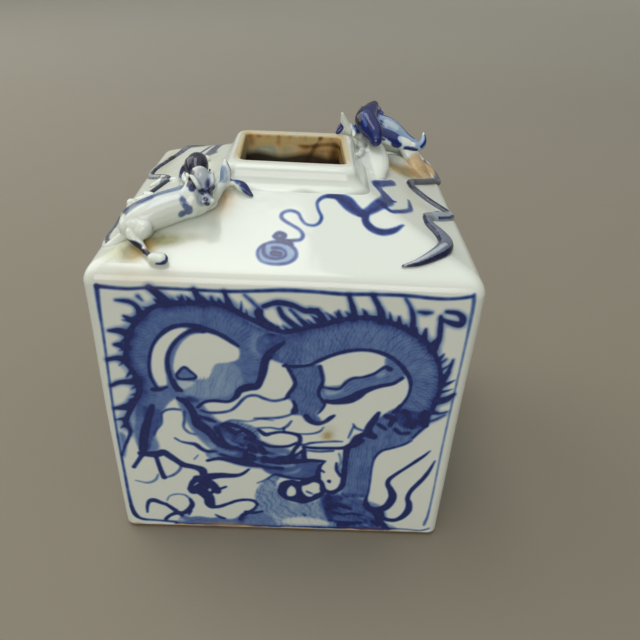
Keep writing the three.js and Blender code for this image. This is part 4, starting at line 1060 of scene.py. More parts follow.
def paint_wall(side, grid):
    """The walls carry the same dragon, each painted afresh: mirrored on the two sides, a little different."""
    x, z = grid[..., 0], grid[..., 2]
    flip, phase = {"front": (1, 0.0), "right": (-1, 0.9), "back": (1, 2.3), "left": (-1, 4.1)}[side]
    amount, hue = blots(x, z, [
        (flip * 10.9, 34, 1.3, 1.2, 1.0, 0.36), (flip * 11.2, 36, 1.8, 1.6, 0.35, 0.0),
        (-31, 75.6, 9, 1.6, 0.3, 0.5), (flip * -15, 1.4, 7, 1.1, 0.7, 0.6), (24, 1.3, 5, 0.7, 0.4, 0.7),
    ])
    ragged = FOOT_BEVEL + 0.25 + 0.16 * np.sin(x / 2.3 + phase) + 0.12 * np.sin(x / 0.9 + 2 * phase)
    foot = np.clip((ragged - z) / 0.3 + 0.5, 0, 1)
    if side == "front":
        ink = dragon.sample(x, z)
    else:
        warp_x = x * 1.045 + 0.9 * np.sin(z / 13 + phase) * np.clip((39 - np.abs(x)) / 8, 0, 1)
        sway = np.clip((72 - z) / 8, 0, 1) * np.clip(z / 10, 0, 1)
        ink = dragon.sample(flip * warp_x, z + 0.8 * np.sin(x / 15 + 2 * phase) * sway)
    stain_and_shadow = np.maximum(amount, 0.9 * foot)
    return {"cobalt": ink * (1 - foot), "stain_and_shadow": stain_and_shadow, "stain_and_shadow_hue": np.where(foot > amount, 0.5, hue)}


SLOPE_STAINS_AND_SHADOW = numbers(
    # beside the left dragon: dark olive staining under the belly, with a painted shadow along it (the long
    # blot at -22 -32.6), olive and ochre round the hind foot
    "-26.6 -33.6 3.8 1.7 1 .16, -29.6 -35 1.8 1.5 .9 .62, -22 -32.6 4.5 1.4 .4 .2, -35 -36 3.4 4.4 .6 0,"
    "-32 -37.2 2.2 2 1 .42, -24 8 7 16 .3 .05, -14 -22 2.6 2.6 .3 .62, -14.5 -19.5 1.6 3 .4 .6,"
    "-15.5 -24 2.4 3.6 .28 .6, -30 -41.6 7 1 .35 .5, -38 -20 2 9 .25 .2, -36 12 3 9 .35 .1,"
    "-38 26 2.6 9 .4 .45,"
    # beside the right dragon: the burnt orange patch under its flank, and pale yellow along the tail
    "37 25 5 8.5 .95 .62, 30.2 13.4 2.8 3.2 .95 .12, 26 14 3.6 4.4 .8 .56, 33 18 4 4 .8 .56,"
    "30 -2 3 8 .22 .05, 34 -9 4 4 .25 .05"
)


def paint_slope(side, grid):
    """The pearl lies on the front slope and again, turned half round, on the back one."""
    plan = turned(grid, SIDES.index(side))
    x, y = plan[..., 0], plan[..., 1]
    # the slope's stains, and a painted shadow under the left dragon's belly
    amount, hue = blots(x, y, SLOPE_STAINS_AND_SHADOW)
    far = pearl.sample(-x, -y) * np.clip(y / 2 - 5.5, 0, 1)
    return {"cobalt": np.maximum(pearl.sample(x, y), far), "stain_and_shadow": amount, "stain_and_shadow_hue": hue}


# The applied chi-dragons, modelled freely. Both are given as the left one lies, over the front left
# corner; the right one is set down turned half round the mouth.
def ring_half(x, y):
    """The half width of the square ring, with its rounded corners, through a plan point."""
    x, y = np.abs(x), np.abs(y)
    half = np.maximum(x, y)
    for _ in range(6):
        corner = outer_corner(half)
        past_x, past_y = x - (half - corner), y - (half - corner)
        round_it = np.hypot(past_x, past_y) - corner
        over = np.where((past_x > 0) & (past_y > 0), round_it, np.maximum(x, y) - half)
        half = half + over
    return half


upper_profile = outer_profile[np.argsort(outer_profile[:, 0])]
upper_profile = upper_profile[upper_profile[:, 1] > SHOULDER_HEIGHT - 1.5]


def surface_z(x, y):
    return np.interp(ring_half(x, y), upper_profile[:, 0], upper_profile[:, 1])


def from_edge(in_x, in_y, lift, inset=0.0):
    x, y = -edge_half + inset + in_x, -edge_half + in_y
    return np.array([x, y, surface_z(x, y) + lift])


def from_collar(out_x, out_y, lift):
    x, y = -collar_half - out_x, -collar_half - out_y
    return np.array([x, y, surface_z(x, y) + lift])


def from_rim(out_x, out_y, up):
    return np.array([-collar_half - out_x, -collar_half - out_y, RIM_HEIGHT + up])


PLACED = {"e": from_edge, "c": from_collar, "r": from_rim}


def at(text, **marks):
    """Places as 'x y z', as lengths after e, c or r from the edge, collar or rim, or as a mark's name."""
    places = []
    for word, *rest in (place.split() for place in text.split(",")):
        if word in marks:
            places.append(marks[word])
        elif word in PLACED:
            places.append(PLACED[word](*map(float, rest)))
        else:
            places.append(np.array([float(word), *map(float, rest)]))
    return places


def along_edge(text, lift):
    """Places over the edge of the shoulder, where the tails lie."""
    return [from_edge(x, y, lift, 2.2) for x, y in numbers(text)]


# The ways that a flattened tube may face
FACING = {
    "up": (0, 0, 1), "slope": (-rise, 0, 1), "front": (0, 1, 0), "side": (1, 0, 0),
    "leaf": (-0.25, 0.65, 0.72),
}


class Clay:
    """Closed tubes and blobs that are pressed together into one skin."""

    def __init__(self):
        self.verts, self.faces, self.count = [], [], 0

    def tube(self, points, radii, flat=1.0, up=(0, 0, 1)):
        spread = np.interp(np.linspace(0, 1, len(points)), np.linspace(0, 1, len(radii)), radii)
        path = curve([[*p, r] for p, r in zip(points, spread)], 0.5, 3, 3)
        centre, radius = path[:, :3], np.maximum(path[:, 3], 0.12)
        ahead = np.gradient(centre, axis=0)
        ahead /= np.linalg.norm(ahead, axis=1, keepdims=True)
        caps = [(0, -0.92, 0.38), (0, -0.7, 0.71), (0, -0.38, 0.92)]
        rows = caps + [(k, 0, 1) for k in range(len(centre))] + [(-1, -s, w) for _, s, w in reversed(caps)]
        normal = np.array(up, float)
        angle = np.arange(TUBE_SIDES) / TUBE_SIDES * 2 * math.pi
        rings = []
        for k, shift, scale in rows:
            normal = normal - (normal @ ahead[k]) * ahead[k]
            normal /= np.linalg.norm(normal)
            side = np.cross(ahead[k], normal)
            middle = centre[k] + ahead[k] * shift * radius[k]
            wide = np.cos(angle)[:, None] * side * radius[k] * scale
            rings.append(middle + wide + np.sin(angle)[:, None] * normal * radius[k] * scale * flat)
        tips = [centre[0] - ahead[0] * radius[0], centre[-1] + ahead[-1] * radius[-1]]
        first, total = self.count, len(rings) * TUBE_SIDES
        self.verts += [np.concatenate(rings), np.array(tips)]
        self.faces += (first + ring_quads(len(rings), TUBE_SIDES)).tolist()
        last = first + total - TUBE_SIDES
        for i in range(TUBE_SIDES):
            j = (i + 1) % TUBE_SIDES
            self.faces.append((first + total, first + j, first + i))
            self.faces.append((first + total + 1, last + i, last + j))
        self.count += total + 2

    def shape(self, text, **marks):
        """Tubes, each an entry 'facing flatness radii: places'."""
        for (facing, *values), places in entries(text):
            flat, *radii = map(float, values)
            self.tube(at(places, **marks), radii, flat, FACING[facing])

    def blob(self, centre, radius, flat=1.0, reach=0.3, ahead=(1, 0, 0)):
        ahead = np.array(ahead, float) / np.linalg.norm(ahead) * reach
        centre = np.array(centre, float)
        self.tube([centre - ahead, centre + ahead], [radius, radius], flat)

    def skin(self):
        """One closed skin round everything, as points and quads."""
        mesh = bpy.data.meshes.new("clay")
        mesh.from_pydata([tuple(v) for v in np.concatenate(self.verts)], [], self.faces)
        lump = bpy.data.objects.new("clay", mesh)
        bpy.context.scene.collection.objects.link(lump)
        fuse = lump.modifiers.new("fuse", "REMESH")
        fuse.mode = "VOXEL"
        fuse.voxel_size = VOXEL
        fuse.adaptivity = 0
        done = lump.evaluated_get(bpy.context.evaluated_depsgraph_get()).to_mesh()
        points = np.empty(len(done.vertices) * 3)
        done.vertices.foreach_get("co", points)
        quads = np.array([list(f.vertices) for f in done.polygons])
        bpy.data.objects.remove(lump)
        bpy.data.meshes.remove(mesh)
        return main_shell(points.reshape(-1, 3), quads)


def main_shell(points, quads):
    """The shell with the most points, without the specks of air that the skin closed in."""
    shell = np.arange(len(points))
    while np.ptp(shell[quads], axis=1).any():
        np.minimum.at(shell, quads, shell[quads].min(1)[:, None])
        shell = shell[shell]
    keep = shell == np.bincount(shell).argmax()
    number = np.cumsum(keep) - 1
    return points[keep], number[quads[keep[quads[:, 0]]]]


def neighbours_mean(points, edges, degree):
    total = np.zeros_like(points)
    for k in range(points.shape[1]):
        total[:, k] = np.bincount(edges[:, 0], points[edges[:, 1], k], len(points))
        total[:, k] += np.bincount(edges[:, 1], points[edges[:, 0], k], len(points))
    return total / degree[:, None]


def softened(points, quads, rounds=6):
    """The skin smoothed as wet clay is, without shrinking, and how hollow each point is."""
    edges = np.concatenate([quads[:, [0, 1]], quads[:, [1, 2]], quads[:, [2, 3]], quads[:, [3, 0]]])
    edges = np.unique(np.sort(edges, axis=1), axis=0)
    degree = np.bincount(edges.ravel(), minlength=len(points)).astype(float)
    soft = points
    for share in (0.55, -0.57) * rounds:
        soft = soft + share * (neighbours_mean(soft, edges, degree) - soft)
    wide = soft
    for _ in range(12):
        wide = wide + 0.6 * (neighbours_mean(wide, edges, degree) - wide)
    normal = point_normals(soft, quads)
    return soft, normal, ((wide - soft) * normal).sum(1)


def point_normals(points, quads):
    a, b = points[quads[:, 2]] - points[quads[:, 0]], points[quads[:, 3]] - points[quads[:, 1]]
    face = np.cross(a, b)
    normal = np.zeros_like(points)
    for corner in range(4):
        for k in range(3):
            normal[:, k] += np.bincount(quads[:, corner], face[:, k], len(points))
    return unit(normal, 1e-12)


def claws_of(clay, paw, degrees, length, drop, radius=0.75, spread=0.55):
    """Toes that fan out from a paw along a heading, each with a knuckle and a bent nail."""
    for turn in (-spread, 0, spread):
        angle = math.radians(degrees) + turn
        ahead = np.array([math.cos(angle), math.sin(angle), 0]) * length
        root, knuckle = paw + ahead * 0.2, paw + ahead * 0.55 + [0, 0, 0.35]
        clay.tube([root, knuckle, paw + ahead - [0, 0, drop]], [radius * 1.3, radius * 1.25, radius * 0.45])
        clay.blob(knuckle + [0, 0, 0.15], radius * 1.1)


# A feline dragon's head: skull, snout and jaw, then brow, ear, cheek lock and lip of one side, all in
# entries 'flatness radii: places', each place forward, sideways and above in sixths of the head's length
SKULL = """
1 2.3 2.75 2.2: -1.6 0 0, .4 0 .1, 2.2 0 -.2
.85 1.9 1.45 1.35: 2.2 0 -.1, 4.2 0 -.1, 5.8 0 .1
.8 1.5 1.05 .85: 1.4 0 -1.5, 3.4 0 -1.8, 5 0 -1.7
"""
CHEEK = """
1 .35 .6 .6 .3: 3.6 .9 1.5, 2.6 1.7 2.1, .6 2.2 2.2, -.6 2.7 1.7
.7 .9 .7 .3: -.2 2.2 .6, -1.2 2.8 .8, -2.2 3.1 .5
1 .9 .9 .6 .25: 1.2 2 -1.2, -.6 3 -1.9, -2.6 3.4 -1.6, -3.6 3 -.8
1 .4 .45 .3: 4.6 1.2 -.9, 3.4 1.8 -1.6, 2 2.2 -2.2
"""


def head_of(clay, skull, snout):
    ahead = snout - skull
    reach = np.linalg.norm(ahead)
    ahead = ahead / reach
    up = np.array([0, 0, 1.0]) - ahead[2] * ahead
    up /= np.linalg.norm(up)
    side = np.cross(ahead, up)
    scale = reach / 6.6

    def spot(forward, sideways, above):
        return skull + scale * (forward * ahead + sideways * side + above * up)

    def tubes(text, mirror=1):
        for (flat, *radii), places in entries(text):
            points = [spot(x, y * mirror, z) for x, y, z in numbers(places)]
            clay.tube(points, [float(r) * scale for r in radii], float(flat), up)

    tubes(SKULL)
    clay.blob(spot(6.0, 0, 0.35), 1.05 * scale, reach=0.35 * scale, ahead=side)
    for s in (-1, 1):
        clay.blob(spot(6.4, 0.75 * s, 0.8), 0.55 * scale)
        clay.blob(spot(2.7, 1.45 * s, 1.05), 0.85 * scale)
        tubes(CHEEK, s)


def dragon_body(clay, stance, back, girth, teeth):
    """What both dragons share: the trunk with its toothed crest, and the haunch. back moves the rump."""
    spine = [
        from_edge(8.6, 8.2 + back, 1.9 + 0.7 * stance), from_edge(11.4, 8.8 + back, 2.3 + stance),
        from_edge(15.6, 11.2 + 0.8 * back, 2.6 + stance), from_edge(19.4, 13.8 + 0.4 * back, 2.8 + stance),
        from_collar(3.4, 9.6, 3.2 + 0.6 * stance), from_collar(2.6, 6.8, 4.4 + 0.3 * stance),
    ]
    clay.tube(spine, [r * girth for r in (1.9, 2.9, 3.15, 3.0, 3.1, 2.6)])
    ridge = np.array([-0.28, 0.38, 0.84]) * 2.95 * girth
    crest = curve([p + ridge for p in spine[:-1]], 0.5, 3, 3)
    clay.tube(crest[::4], [0.5, 0.7, 0.7, 0.6])
    for k in range(3, len(crest) - 2, 4):
        clay.tube([crest[k], crest[k] + np.array([0.35, 0.1, 0.75]) * teeth], [0.55, 0.25])
    hip = from_edge(10.8, 8.0 + back, 1.8 + 0.6 * stance)
    clay.blob(hip, 2.7 * girth, 0.95, 0.8, (0.7, -0.7, 0))
    return crest


def model_left():
    clay = Clay()
    crest = dragon_body(clay, 0.8, 2.4, 1.12, 0.3)
    clay.shape("front 1 3.4 2.9 2.5: -21.4 -27.6 86.8, -20.2 -27 88.6, -19.8 -24.8 90.4")
    head_of(clay, *at("-18.9 -25.6 91, -16.9 -30.2 87.6"))
    # the smooth dark crown of hair on the back of the head, and the locks that fall from it
    clay.shape("up 1 2.5 2.6 1.5: -20.8 -18.4 92.5, -20.7 -20.4 92.2, -20.3 -23.2 91")
    for s in (-1, 1):
        lock = [(-20.3 + 0.6 * s, -22.8, 92.2), (-20.2 + 0.6 * s, -24.4, 91.6), (-20.0 + 0.8 * s, -26, 89.8)]
        clay.tube(lock, [0.5, 0.6, 0.35])
    wrist, paw = at("c -1.2 3.3 1.9, c 7.4 -20.5 .9")
    # three more locks; the foreleg along the front of the collar, with one thick toe up against the collar
    # and one down on the shoulder; the foreleg along the side of the collar
    clay.shape("""
up 1 1.7 1.2 .35: r 4.4 3.2 0, r 6.6 -.4 .2, r 8 -3.8 -3.6
up 1 1.7 1.2 .35: r 4.4 3.2 0, r 4.4 -1.6 -.6, r 4.4 -5.2 -3
up 1 1.7 1.1 .35: r 4.4 3.2 0, r 7 2.2 -.4, r 9.2 .2 -3.8
up 1 2.2 1.6 1.25 1.2: c 2.8 9.2 2.6, c .4 7.2 2.6, c -.6 5 2.4, wrist
up 1 .7 .75 .4: c 1.9 10.4 2, c .2 8.4 1.4, c -.4 6.4 1.4
side .95 1.1 1.3 1.25 .45: wrist, -14.6 -18.9 89.4, -14.6 -18.1 91.2, -14.7 -17.5 93
up .75 1 1.1 1.5 .4: wrist, c -3.6 2.2 1.6, c -5.6 2.7 1.2, c -7.8 4.2 .5
up .85 2.5 2.2 1.8 1.4 1.4: c 4.2 7.4 2.6, c 7.4 -.6 1.8, c 7.7 -8 1.1, c 7.7 -15 .9, paw
""", wrist=wrist, paw=paw)
    claws_of(clay, paw, 105, 4.0, 1.0)
    # the front hind leg: haunch, thin ankle, small round paw
    clay.blob((-30.2, -34.4, 82.9), 1.75, 1.0, 0.5, (0.5, 0.2, 0.6))
    clay.blob((-32.4, -34.7, 82.3), 1.15)
    clay.shape("up 1 1.3 1.1 .8 .6 .8: -32.4 -35 81.7, -31.2 -35.8 80.7, -30 -36.9 80.1, -28.7 -38.3 79.2,"
               " -27.6 -39.2 78.8")
    clay.blob((-26.3, -39.6, 78.9), 1.5, 0.85, 0.7, (1, -0.15, 0))
    # the hind leg at the side: knee beside the trunk, a round heel on the edge of the shoulder
    heel, foot = at("e 3.6 32.4 1.2, e 6.4 35 .7")
    clay.shape("up 1 2.6 2 1.2 .9 .8: e 9 11.4 2.4, e 6.8 18.5 2.2, e 4.8 25.6 1.2, heel, foot",
               heel=heel, foot=foot)
    clay.blob(heel, 1.15)
    claws_of(clay, foot, 70, 2.4, 0.6, 0.5)
    # the tail: a thin zigzag strip along the shoulder, then a pointed crescent
    tail = at("e 8 10.4 1.2") + along_edge("1.6 11, 0 15.6, 0 22", -0.3) + along_edge(
        ".4 30, 4.2 38, 7.2 43.4, 7.4 46.6, 4.8 50.6, 1 54.8, 0 58.4, .8 62.4, 4.2 67.4", 0.3)
    clay.tube(tail, [1.2, 0.8, 0.75, 0.75, 0.9, 0.95], 0.85, FACING["slope"])
    clay.shape("up .5 1.1 1.6 .9: e 3.6 45.6 .4 2.2, e 6 45.4 .6 2.2, e 9.4 43.9 .3 2.2")
    tip = along_edge("3.6 66.8, 6 70, 7.6 73.4, 11.4 77.2, 16.4 79.6, 21.2 80.4", 0.2)
    clay.tube(tip, [0.9, 1.0, 1.1, 1.1, 0.9, 0.3], 0.7, FACING["slope"])
    return clay, crest, tail, tip


def model_right():
    clay = Clay()
    crest = dragon_body(clay, 1.6, 0, 1.05, 1.0)
    clay.shape("front 1 3.4 2.9 2.6: c 2.6 7.4 5, r 3.6 6.6 .4, r 4 5.8 2.6")
    clay.blob(from_collar(3.2, 10.4, 4.6), 3.4)
    head_of(clay, *at("r 4.2 6.9 2.6, r 2.9 13 .7"))
    # the crown of hair: one broad glossy lobe that falls over the shoulder, a wide leaf swept out sideways
    # and a lock; then the thick shoulder and foreleg that lie along the collar
    clay.shape("""
up .95 1.3 2.1 3 2.5 1.6: -21 -21 97.7, -19.8 -18.2 96.9, -18.6 -13.9 95.4, -20.6 -10 93.2, -21.1 -7.8 91.8
leaf .6 1.7 2.1 1.6 .9: -22.4 -19.2 94.6, -26 -18.8 92.9, -30.2 -18 90, -32.8 -17.4 89
leaf .6 1.9 2.3 2.1 1.6 .9: -22.6 -15.4 91.8, -25 -15.4 90.8, -28 -15.5 89.6, -31 -16 88.7, -33 -16.4 88.2
up 1 1.3 1.25 .9 .3: -31.8 -16.2 88.2, -34.2 -16.7 88.3, -35.1 -17.9 89.6, -35.1 -19.2 91.2
up 1 2 1.7 .5: r 4.8 4 1.6, r 8.4 7.6 -1, r 12.4 9.4 -5
up .56 3.2 4 4.3 3.9 3.2: r 3.8 4.4 -1, c 4 -2 1.8, c 4.3 -7.6 1, c 4.5 -12.4 0, c 4.4 -15 -.6
""")
    for x, y, lift, radius in numbers("1.6 -3 2.6 1.1, 3.4 -6.4 2.8 1, 1.2 -8.4 1.4 .9, 5.2 -10.4 1.6 .9"):
        clay.blob(from_collar(x, y, lift), radius, 0.8, 1.4, (0.3, 1, -0.2))
    # the foreleg whose claws hook over the rim
    clay.shape("""
up 1 2.3 1.9 1.7: c 2.8 8.6 4, r 1.6 4 -1.4, wrist
up 1 1.5 1.4 1.3 .55: wrist, r -1.8 -.9 .8, r -3.9 -1.6 1.3, r -5.2 -2.8 .3
up 1 1.5 1.4 1.15 .4: wrist, r -2.2 -1.4 1, r -3.4 -2.2 2.8, r -4.2 -3 5.4
up 1 1.2 1 .4: wrist, r -.4 -2.6 .8, r -.9 -4.6 .1
""", wrist=from_rim(0.3, -0.2, -0.2))
    clay.blob(from_rim(-1.6, -1.8, 1.5), 1.0)
    # hind legs, one each side of the back corner
    paw = from_edge(16.0, 4.0, 1.0)
    clay.shape("up 1 3 2.3 1.3 1.3: e 10.6 8.4 3.4, e 10.2 5.2 3, e 12.6 4.2 1.6, paw", paw=paw)
    claws_of(clay, paw, 4, 3.6, 0.8, 0.75)
    clay.shape("slope .5 3.6 3.4 2.8 1.6: e 9.8 10.6 2.6, e 7.6 14.4 .9, e 6 19 -.3, e 5.6 24 -.7")
    tail = at("e 8 8.4 2.4") + along_edge(
        "1.6 11, -.6 15, -1.4 19.6, .8 24, 4.2 29.2, 8.4 34.8, 9.3 37.6, 8.4 41.2, 5.2 45, 1.2 47.4,"
        "-.3 48.8, 1.4 52, 4.6 56, 7.8 59", 0.25)
    clay.tube(tail, [1.4, 1.0, 0.9, 0.85, 0.85, 0.85, 0.9], 0.8, FACING["slope"])
    clay.shape("up .5 .9 1.4 1.2: e .4 50 .3 2.2, e 3.6 53 .5 2.2, e 7.4 57.8 .4 2.2")
    tip = along_edge("7.8 59.6, 7.6 64, 5.8 67.6, 5.1 71.2, 6.4 75.4, 9.2 78, 12.4 79.8, 15.6 80.8", 0.4)
    clay.tube(tip, [1.0, 1.15, 1.5, 1.7, 1.7, 1.3, 0.8, 0.25], 0.8, FACING["slope"])
    return clay, crest, tail, tip


def cover_of(points, strokes):
    """Brushwork on the modelled clay: strokes through the air colour whatever they pass close to."""
    field = np.zeros(len(points))
    for path, radius, tone in strokes:
        path = np.array(path, float)
        if path.shape[1] == 3:
            path = np.concatenate([path, np.full((len(path), 1), radius)], 1)
        line = curve(path, 0.35, 3, 3)
        low, high = line[:, :3].min(0) - 4, line[:, :3].max(0) + 4
        near = np.nonzero(((points > low) & (points < high)).all(1))[0]
        if line[:, 3].max() < 1.45:
            closest = [near[np.argmin(((points[near] - p) ** 2).sum(1))] for p in line[:, :3]]
            line[:, :3] += 0.9 * (points[closest] - line[:, :3])
        away = np.full(len(near), 9.0)
        for x, y, z, r in line:
            away = np.minimum(away, np.linalg.norm(points[near] - (x, y, z), axis=1) - r)
        cover = eased(np.clip(0.5 - away / (0.35 + 0.35 * line[:, 3].mean()), 0, 1))
        if tone >= 0:
            field[near] = 1 - (1 - field[near]) * (1 - cover * tone)
        else:
            field[near] *= 1 + cover * tone
    return field


def drawn(text):
    """Strokes as entries 'tone: points', each point 'x y z radius'. A tone below 0 wipes."""
    return [(numbers(points), None, float(tone)) for (tone,), points in entries(text)]


NODES = [
    "trunk", "head", "mane", "foreleg_inner", "foreleg_outer", "hindleg_inner", "hindleg_outer",
    "tail", "tail_tip",
]


def build_dragon(side, modelled, strokes, greys, stains, material):
    clay, *paths = modelled
    points, quads = clay.skin()
    points, normal, hollow = softened(points, quads)
    height = points[:, 2] - surface_z(points[:, 0], points[:, 1])
    over_mouth = np.maximum(np.abs(points[:, 0]), np.abs(points[:, 1])) < rim_half - 1.0
    spread = np.clip(1 - height / 1.1, 0, 1) ** 2 * np.clip(height + 1.6, 0, 1) * ~over_mouth
    points[:, :2] += normal[:, :2] * 0.32 * spread[:, None]
    seat = surface_z(points[:, 0], points[:, 1]) - SLIP
    points[:, 2] = np.where(over_mouth, points[:, 2], np.maximum(points[:, 2], seat))
    half_turn = [-1, -1, 1] if side == "right" else [1, 1, 1]
    points *= half_turn
    paths = [np.array(path) * half_turn for path in paths]
    cobalt = cover_of(points, strokes(*paths))
    pooled = np.clip(hollow * 1.6, 0, 0.5) * 0.55
    piece = link_mesh(side + "_dragon", points, quads.tolist(), material, attributes={
        "cobalt": np.clip(1 - (1 - cobalt) * (1 - pooled), 0, 1),
        "stain_and_shadow": cover_of(points, drawn(stains)),
        "stain_and_shadow_hue": np.full(len(points), 0.6),
        "iron_and_shade_grey": cover_of(points, greys(*paths)),
    })
    fit(piece, "dragon_glaze", *[side + "_dragon_" + name for name in NODES])


def left_strokes(crest, tail, tip):
    return [
        (tail[5:8], 1.5, 0.34), (tip, 1.4, 0.5), (tail[8:], 1.2, 0.4),
        (tail[1:6] + [-0.2, 0, 0.6], 0.5, 0.45),
        (tail[5:] + [0.6, -0.3, 0.6], 0.5, 0.5), (tip[3:] + [0.5, -0.9, 0.4], 0.6, 0.6),
        *drawn(".96: -20.9 -17.4 93.2 3.1, -20.8 -19.4 92.9 3.1, -20.6 -21.4 92.6 3.1"),
        (crest[9:25], 1.8, 0.24), (crest[3:12] + [0.3, -0.8, -0.2], 1.4, 0.24),
        (crest[11:25] + [1.6, -1.6, -0.4], 2.2, 0.055), (crest[:8] + [0, 0.4, 0.2], 1.0, 0.3),
        # painted highlight: the wipe at -.8 leaves a white spot beside the snout
        *drawn("""
.42: -22.3 -30.2 88.4 .5, -21.9 -30.8 87.9 .7, -21.3 -32 87.1 .8, -20.7 -32.6 86 .9, -21.6 -32.8 84.7 .8
.85: -33 -34.8 81.2 .9, -31.6 -36 80.6 1, -30.4 -37 80.2 .8
.7: -30 -37.2 79.9 .5, -28.4 -38.6 79.2 .6
.88: -24.7 -38.8 79.4 .6, -24.3 -39.6 79 .75, -24.9 -40.6 78.4 .7, -26 -40.9 78.2 .5
.85: -13.4 -18.6 89.2 .6, -13.3 -18 90.8 .6, -13.8 -17.4 92.6 .5
.2: -15 -19.6 89.6 1.2, -15 -18.8 91.4 1
.84: -12 -18.7 88.6 .8, -10.6 -19.2 88.3 1.2, -9.4 -20 87.8 1.3, -8.4 -20.6 87 1
-.4: -12.6 -18.2 89.6 .7, -11.4 -18.4 89.8 .6
.17: -18.6 -26 91 3, -17.8 -29 88.8 2.2
.62: -17 -26.8 90.6 1.5, -16.6 -27.6 89.8 1.5
.8: -20.2 -24.6 91.6 .6, -19.6 -26.6 91.2 .6, -19.4 -28 90.2 .7
.75: -20.4 -27.4 90.2 .9, -20.2 -28.2 89.6 .7
.8: -20.4 -24.8 92.4 .5, -20.2 -26.4 91.4 .5, -20.1 -28 90 .5
.9: -17 -25.6 92 .8, -16.4 -26.6 91.2 .9
.85: -18.4 -29 90.2 .5, -17.9 -29.3 89.8 .5
.75: -17.3 -30.4 88.6 .4, -17 -31 87.6 .5
-.8: -20.4 -30.8 88.7 .9, -20 -31.2 88.2 .8
.7: -24 -19.4 91.6 1.4, -23.8 -16.4 89.6 1.4, -21 -13 89 1.2
"""),
    ]


def right_strokes(crest, tail, tip):
    return [
        (tail[1:], 1.6, 0.42), (tip, 2.4, 0.36), (tail[2:] + [-0.8, 0.3, 0.5], 0.35, 0.45),
        (tail[-4:], 1.7, -0.6), (tail[-4:-1] + [0, -0.9, 0.3], 0.35, 0.6),
        (tip + [-1.4, 0.6, 0.5], 0.5, 0.85), (tip + [1.5, -0.7, 0.2], 0.5, 0.85),
        # painted highlight: a wiped white streak along the top of the tail's crescent
        (tip[4:] + [0.3, 0, 1.2], 0.5, -0.6),
        *drawn("""
.85: 35.6 -10.6 81 .6, 35.2 -11.4 81.2 .6
.2: 23 18 93.6 2.8, 26.4 17 92 3.6, 30 17 90 3.2, 34.4 17.4 89 2.2
"""),
        (crest, 0.8, 0.7),
        # in these entries the faint grey-green wash at .08 down the collar side of the white foreleg mass is
        # painted shade, and the wipe at -.42 on the crown is a painted highlight
        *drawn("""
.8: 23.2 24.6 96.4 2.2, 22.4 20.4 97.8 1.8
.08: 17.6 11 88 2.4, 18.2 2 86 2.4, 19 -7 84 2.4
.84: 22.6 20 96.6 .8, 25.8 20.6 95 .9, 29.6 19.8 92.4 .9, 32.8 18.6 90.8 .7
.86: 23.6 14.6 93 1.2, 25.8 14.2 92 1.8, 27.4 14 91 1.8, 27.4 13.4 89.8 1.5
.7: 22.8 16.6 94.4 .6, 23.4 14.2 92.6 .7, 23.6 12.6 91 .6
-.9: 28.6 14.4 91 1, 30.2 14.8 90 1.4, 31.6 15 89.2 1.1
-.5: 24.6 17.4 94.6 .8, 27.2 17.2 93.2 .9
.6: 34.4 15.4 88.4 .4, 35.6 16.8 89.6 .4, 35.7 18.4 91 .3
.6: 30 13.6 88.2 .5, 33 14.8 87.4 .5
.8: 21 21 97.7 1.9, 19.8 18.2 96.9 2.7, 18.6 13.9 95.4 3.6, 20.6 10 93.2 3, 21.1 7.8 91.8 2
-.42: 17.6 12.4 98.2 .5, 17.4 10.4 97 .6, 18 8.8 95.6 .5
.85: 12.2 14.4 93.2 .9, 11.4 13.4 92.6 .9, 10.9 13 91.8 .7
.2: 20 26.4 95 2.6, 19.4 28.4 94 2
.9: 17.4 24.4 97.6 .9, 18 25.2 97.4 .8
.9: 22.4 25 97.4 .9, 22.2 25.6 97.2 .8
"""),
    ]


# Where the dragons' cobalt is greyed by iron, and where it is greyed as painted shade on the right dragon's
# white foreleg mass
def left_greys(crest, tail, tip):
    return [
        *drawn(".8: -20.9 -17.4 93.2 3.4, -20.6 -21.4 92.4 3.4, -20.2 -25 91 3.4"), (tail, 1.8, 0.85),
        *drawn(".62: -18.9 -25.6 91 3.4, -17 -30 88 3.4"), (crest, 2.4, 0.4),
        *drawn(".4: -22 -30 88 2, -21 -33 85 2"), (tip, 2.4, 0.9), (crest[:5], 1.4, 0.7),
        *drawn(".85: -33 -34.8 81.2 1.6, -28.4 -38.6 79.2 1.6"),
    ]


def right_greys(_, tail, tip):
    # the first entry of the text below greys the painted shade on the right dragon's white foreleg mass
    return [(tail[:11], 2.2, 0.85), (tail[10:], 2.0, 0.45), (tip, 2.6, 0.7), *drawn("""
.9: 17.6 11 88 4, 19 -7 84 4
.8: 20.4 21 99.2 1.2, 17.6 17 98.6 1.4, 15.4 12.6 97.4 1.2, 15.2 10 96 .9
""")]


LEFT_STAINS = """
.75: -30.4 -36.4 80.2 .8, -28.8 -37.2 79.6 .9
.7: -15 -19.4 88.4 .7, -12.4 -19 88 .6
"""
RIGHT_STAINS = ".85: 31 17 81 3.4, 34.4 21 80 4.5, 37 27 79 4.5"


# The setting: a plain pale floor that bends up far behind, soft lights and an even room
FLOOR_RADIUS, FLOOR_BEND, FLOOR_TOP = 3.2, 0.6, 3.0     # in metres
FLOOR_SPOKES = 96
ROOM_COLOUR, ROOM_STRENGTH = (0.955, 0.985, 1.0, 1), 0.72
LIGHT_COLOUR = (1.0, 0.985, 0.955)
LIT = Vector((0, 0, 0.05))

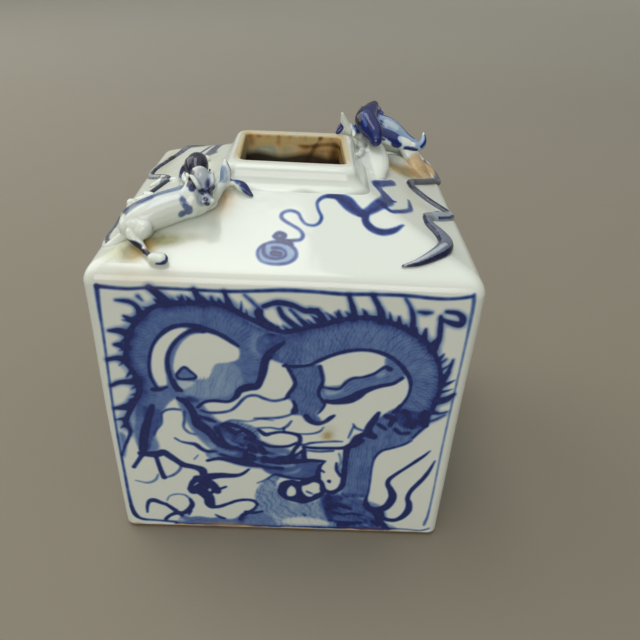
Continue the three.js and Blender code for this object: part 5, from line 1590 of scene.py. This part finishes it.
# Each light's place, width, height and power
LIGHTS = {
    "overhead": ((-0.16, -0.02, 1.2), 0.9, 0.4, 4.0),
    "window": ((-0.75, 0.35, 0.6), 0.8, 0.8, 3.4),
    "front": ((-0.1, -1.2, 0.55), 0.9, 0.6, 6.9),
}


def build_setting():
    flat, bend, count = FLOOR_RADIUS - FLOOR_BEND, FLOOR_BEND, FLOOR_SPOKES
    rings = [(r, 0) for r in np.linspace(0.02, flat, 12)]
    rings += [(flat + bend * math.sin(a), bend * (1 - math.cos(a))) for a in np.linspace(0, math.pi / 2, 14)]
    rings.append((FLOOR_RADIUS, FLOOR_TOP))
    angles = np.linspace(0, 2 * math.pi, count, endpoint=False)
    verts = [(0, 0, 0)] + [(r * math.cos(a), r * math.sin(a), z) for r, z in rings for a in angles]
    faces = [(0, 1 + i, 1 + (i + 1) % count) for i in range(count)]
    for low in range(1, 1 + count * (len(rings) - 1), count):
        for i in range(count):
            j = (i + 1) % count
            faces.append((low + i, low + count + i, low + count + j, low + j))
    floor = link_mesh("floor", np.array(verts) / MM, faces, floor_painted_light_material())
    world = bpy.data.worlds.new("room")
    world.use_nodes = True
    room = world.node_tree.nodes["Background"]
    room.inputs["Color"].default_value = ROOM_COLOUR
    room.inputs["Strength"].default_value = ROOM_STRENGTH
    bpy.context.scene.world = world
    for name, (place, width, height, power) in LIGHTS.items():
        light = bpy.data.lights.new(name, "AREA")
        light.shape = "RECTANGLE"
        light.size, light.size_y = width, height
        light.energy = power
        light.color = LIGHT_COLOUR
        lamp = bpy.data.objects.new(name, light)
        turn = (LIT - Vector(place)).to_track_quat("-Z", "Y").to_matrix().to_4x4()
        lamp.matrix_world = Matrix.Translation(place) @ turn
        bpy.context.scene.collection.objects.link(lamp)
    bpy.context.scene.view_settings.view_transform = "Standard"


glazed = glaze_material()
place_camera()
build_slabs(glazed)
build_collar(glazed)
build_foot(biscuit_material())
build_dragon("left", model_left(), left_strokes, left_greys, LEFT_STAINS, glazed)
build_dragon("right", model_right(), right_strokes, right_greys, RIGHT_STAINS, glazed)
build_setting()
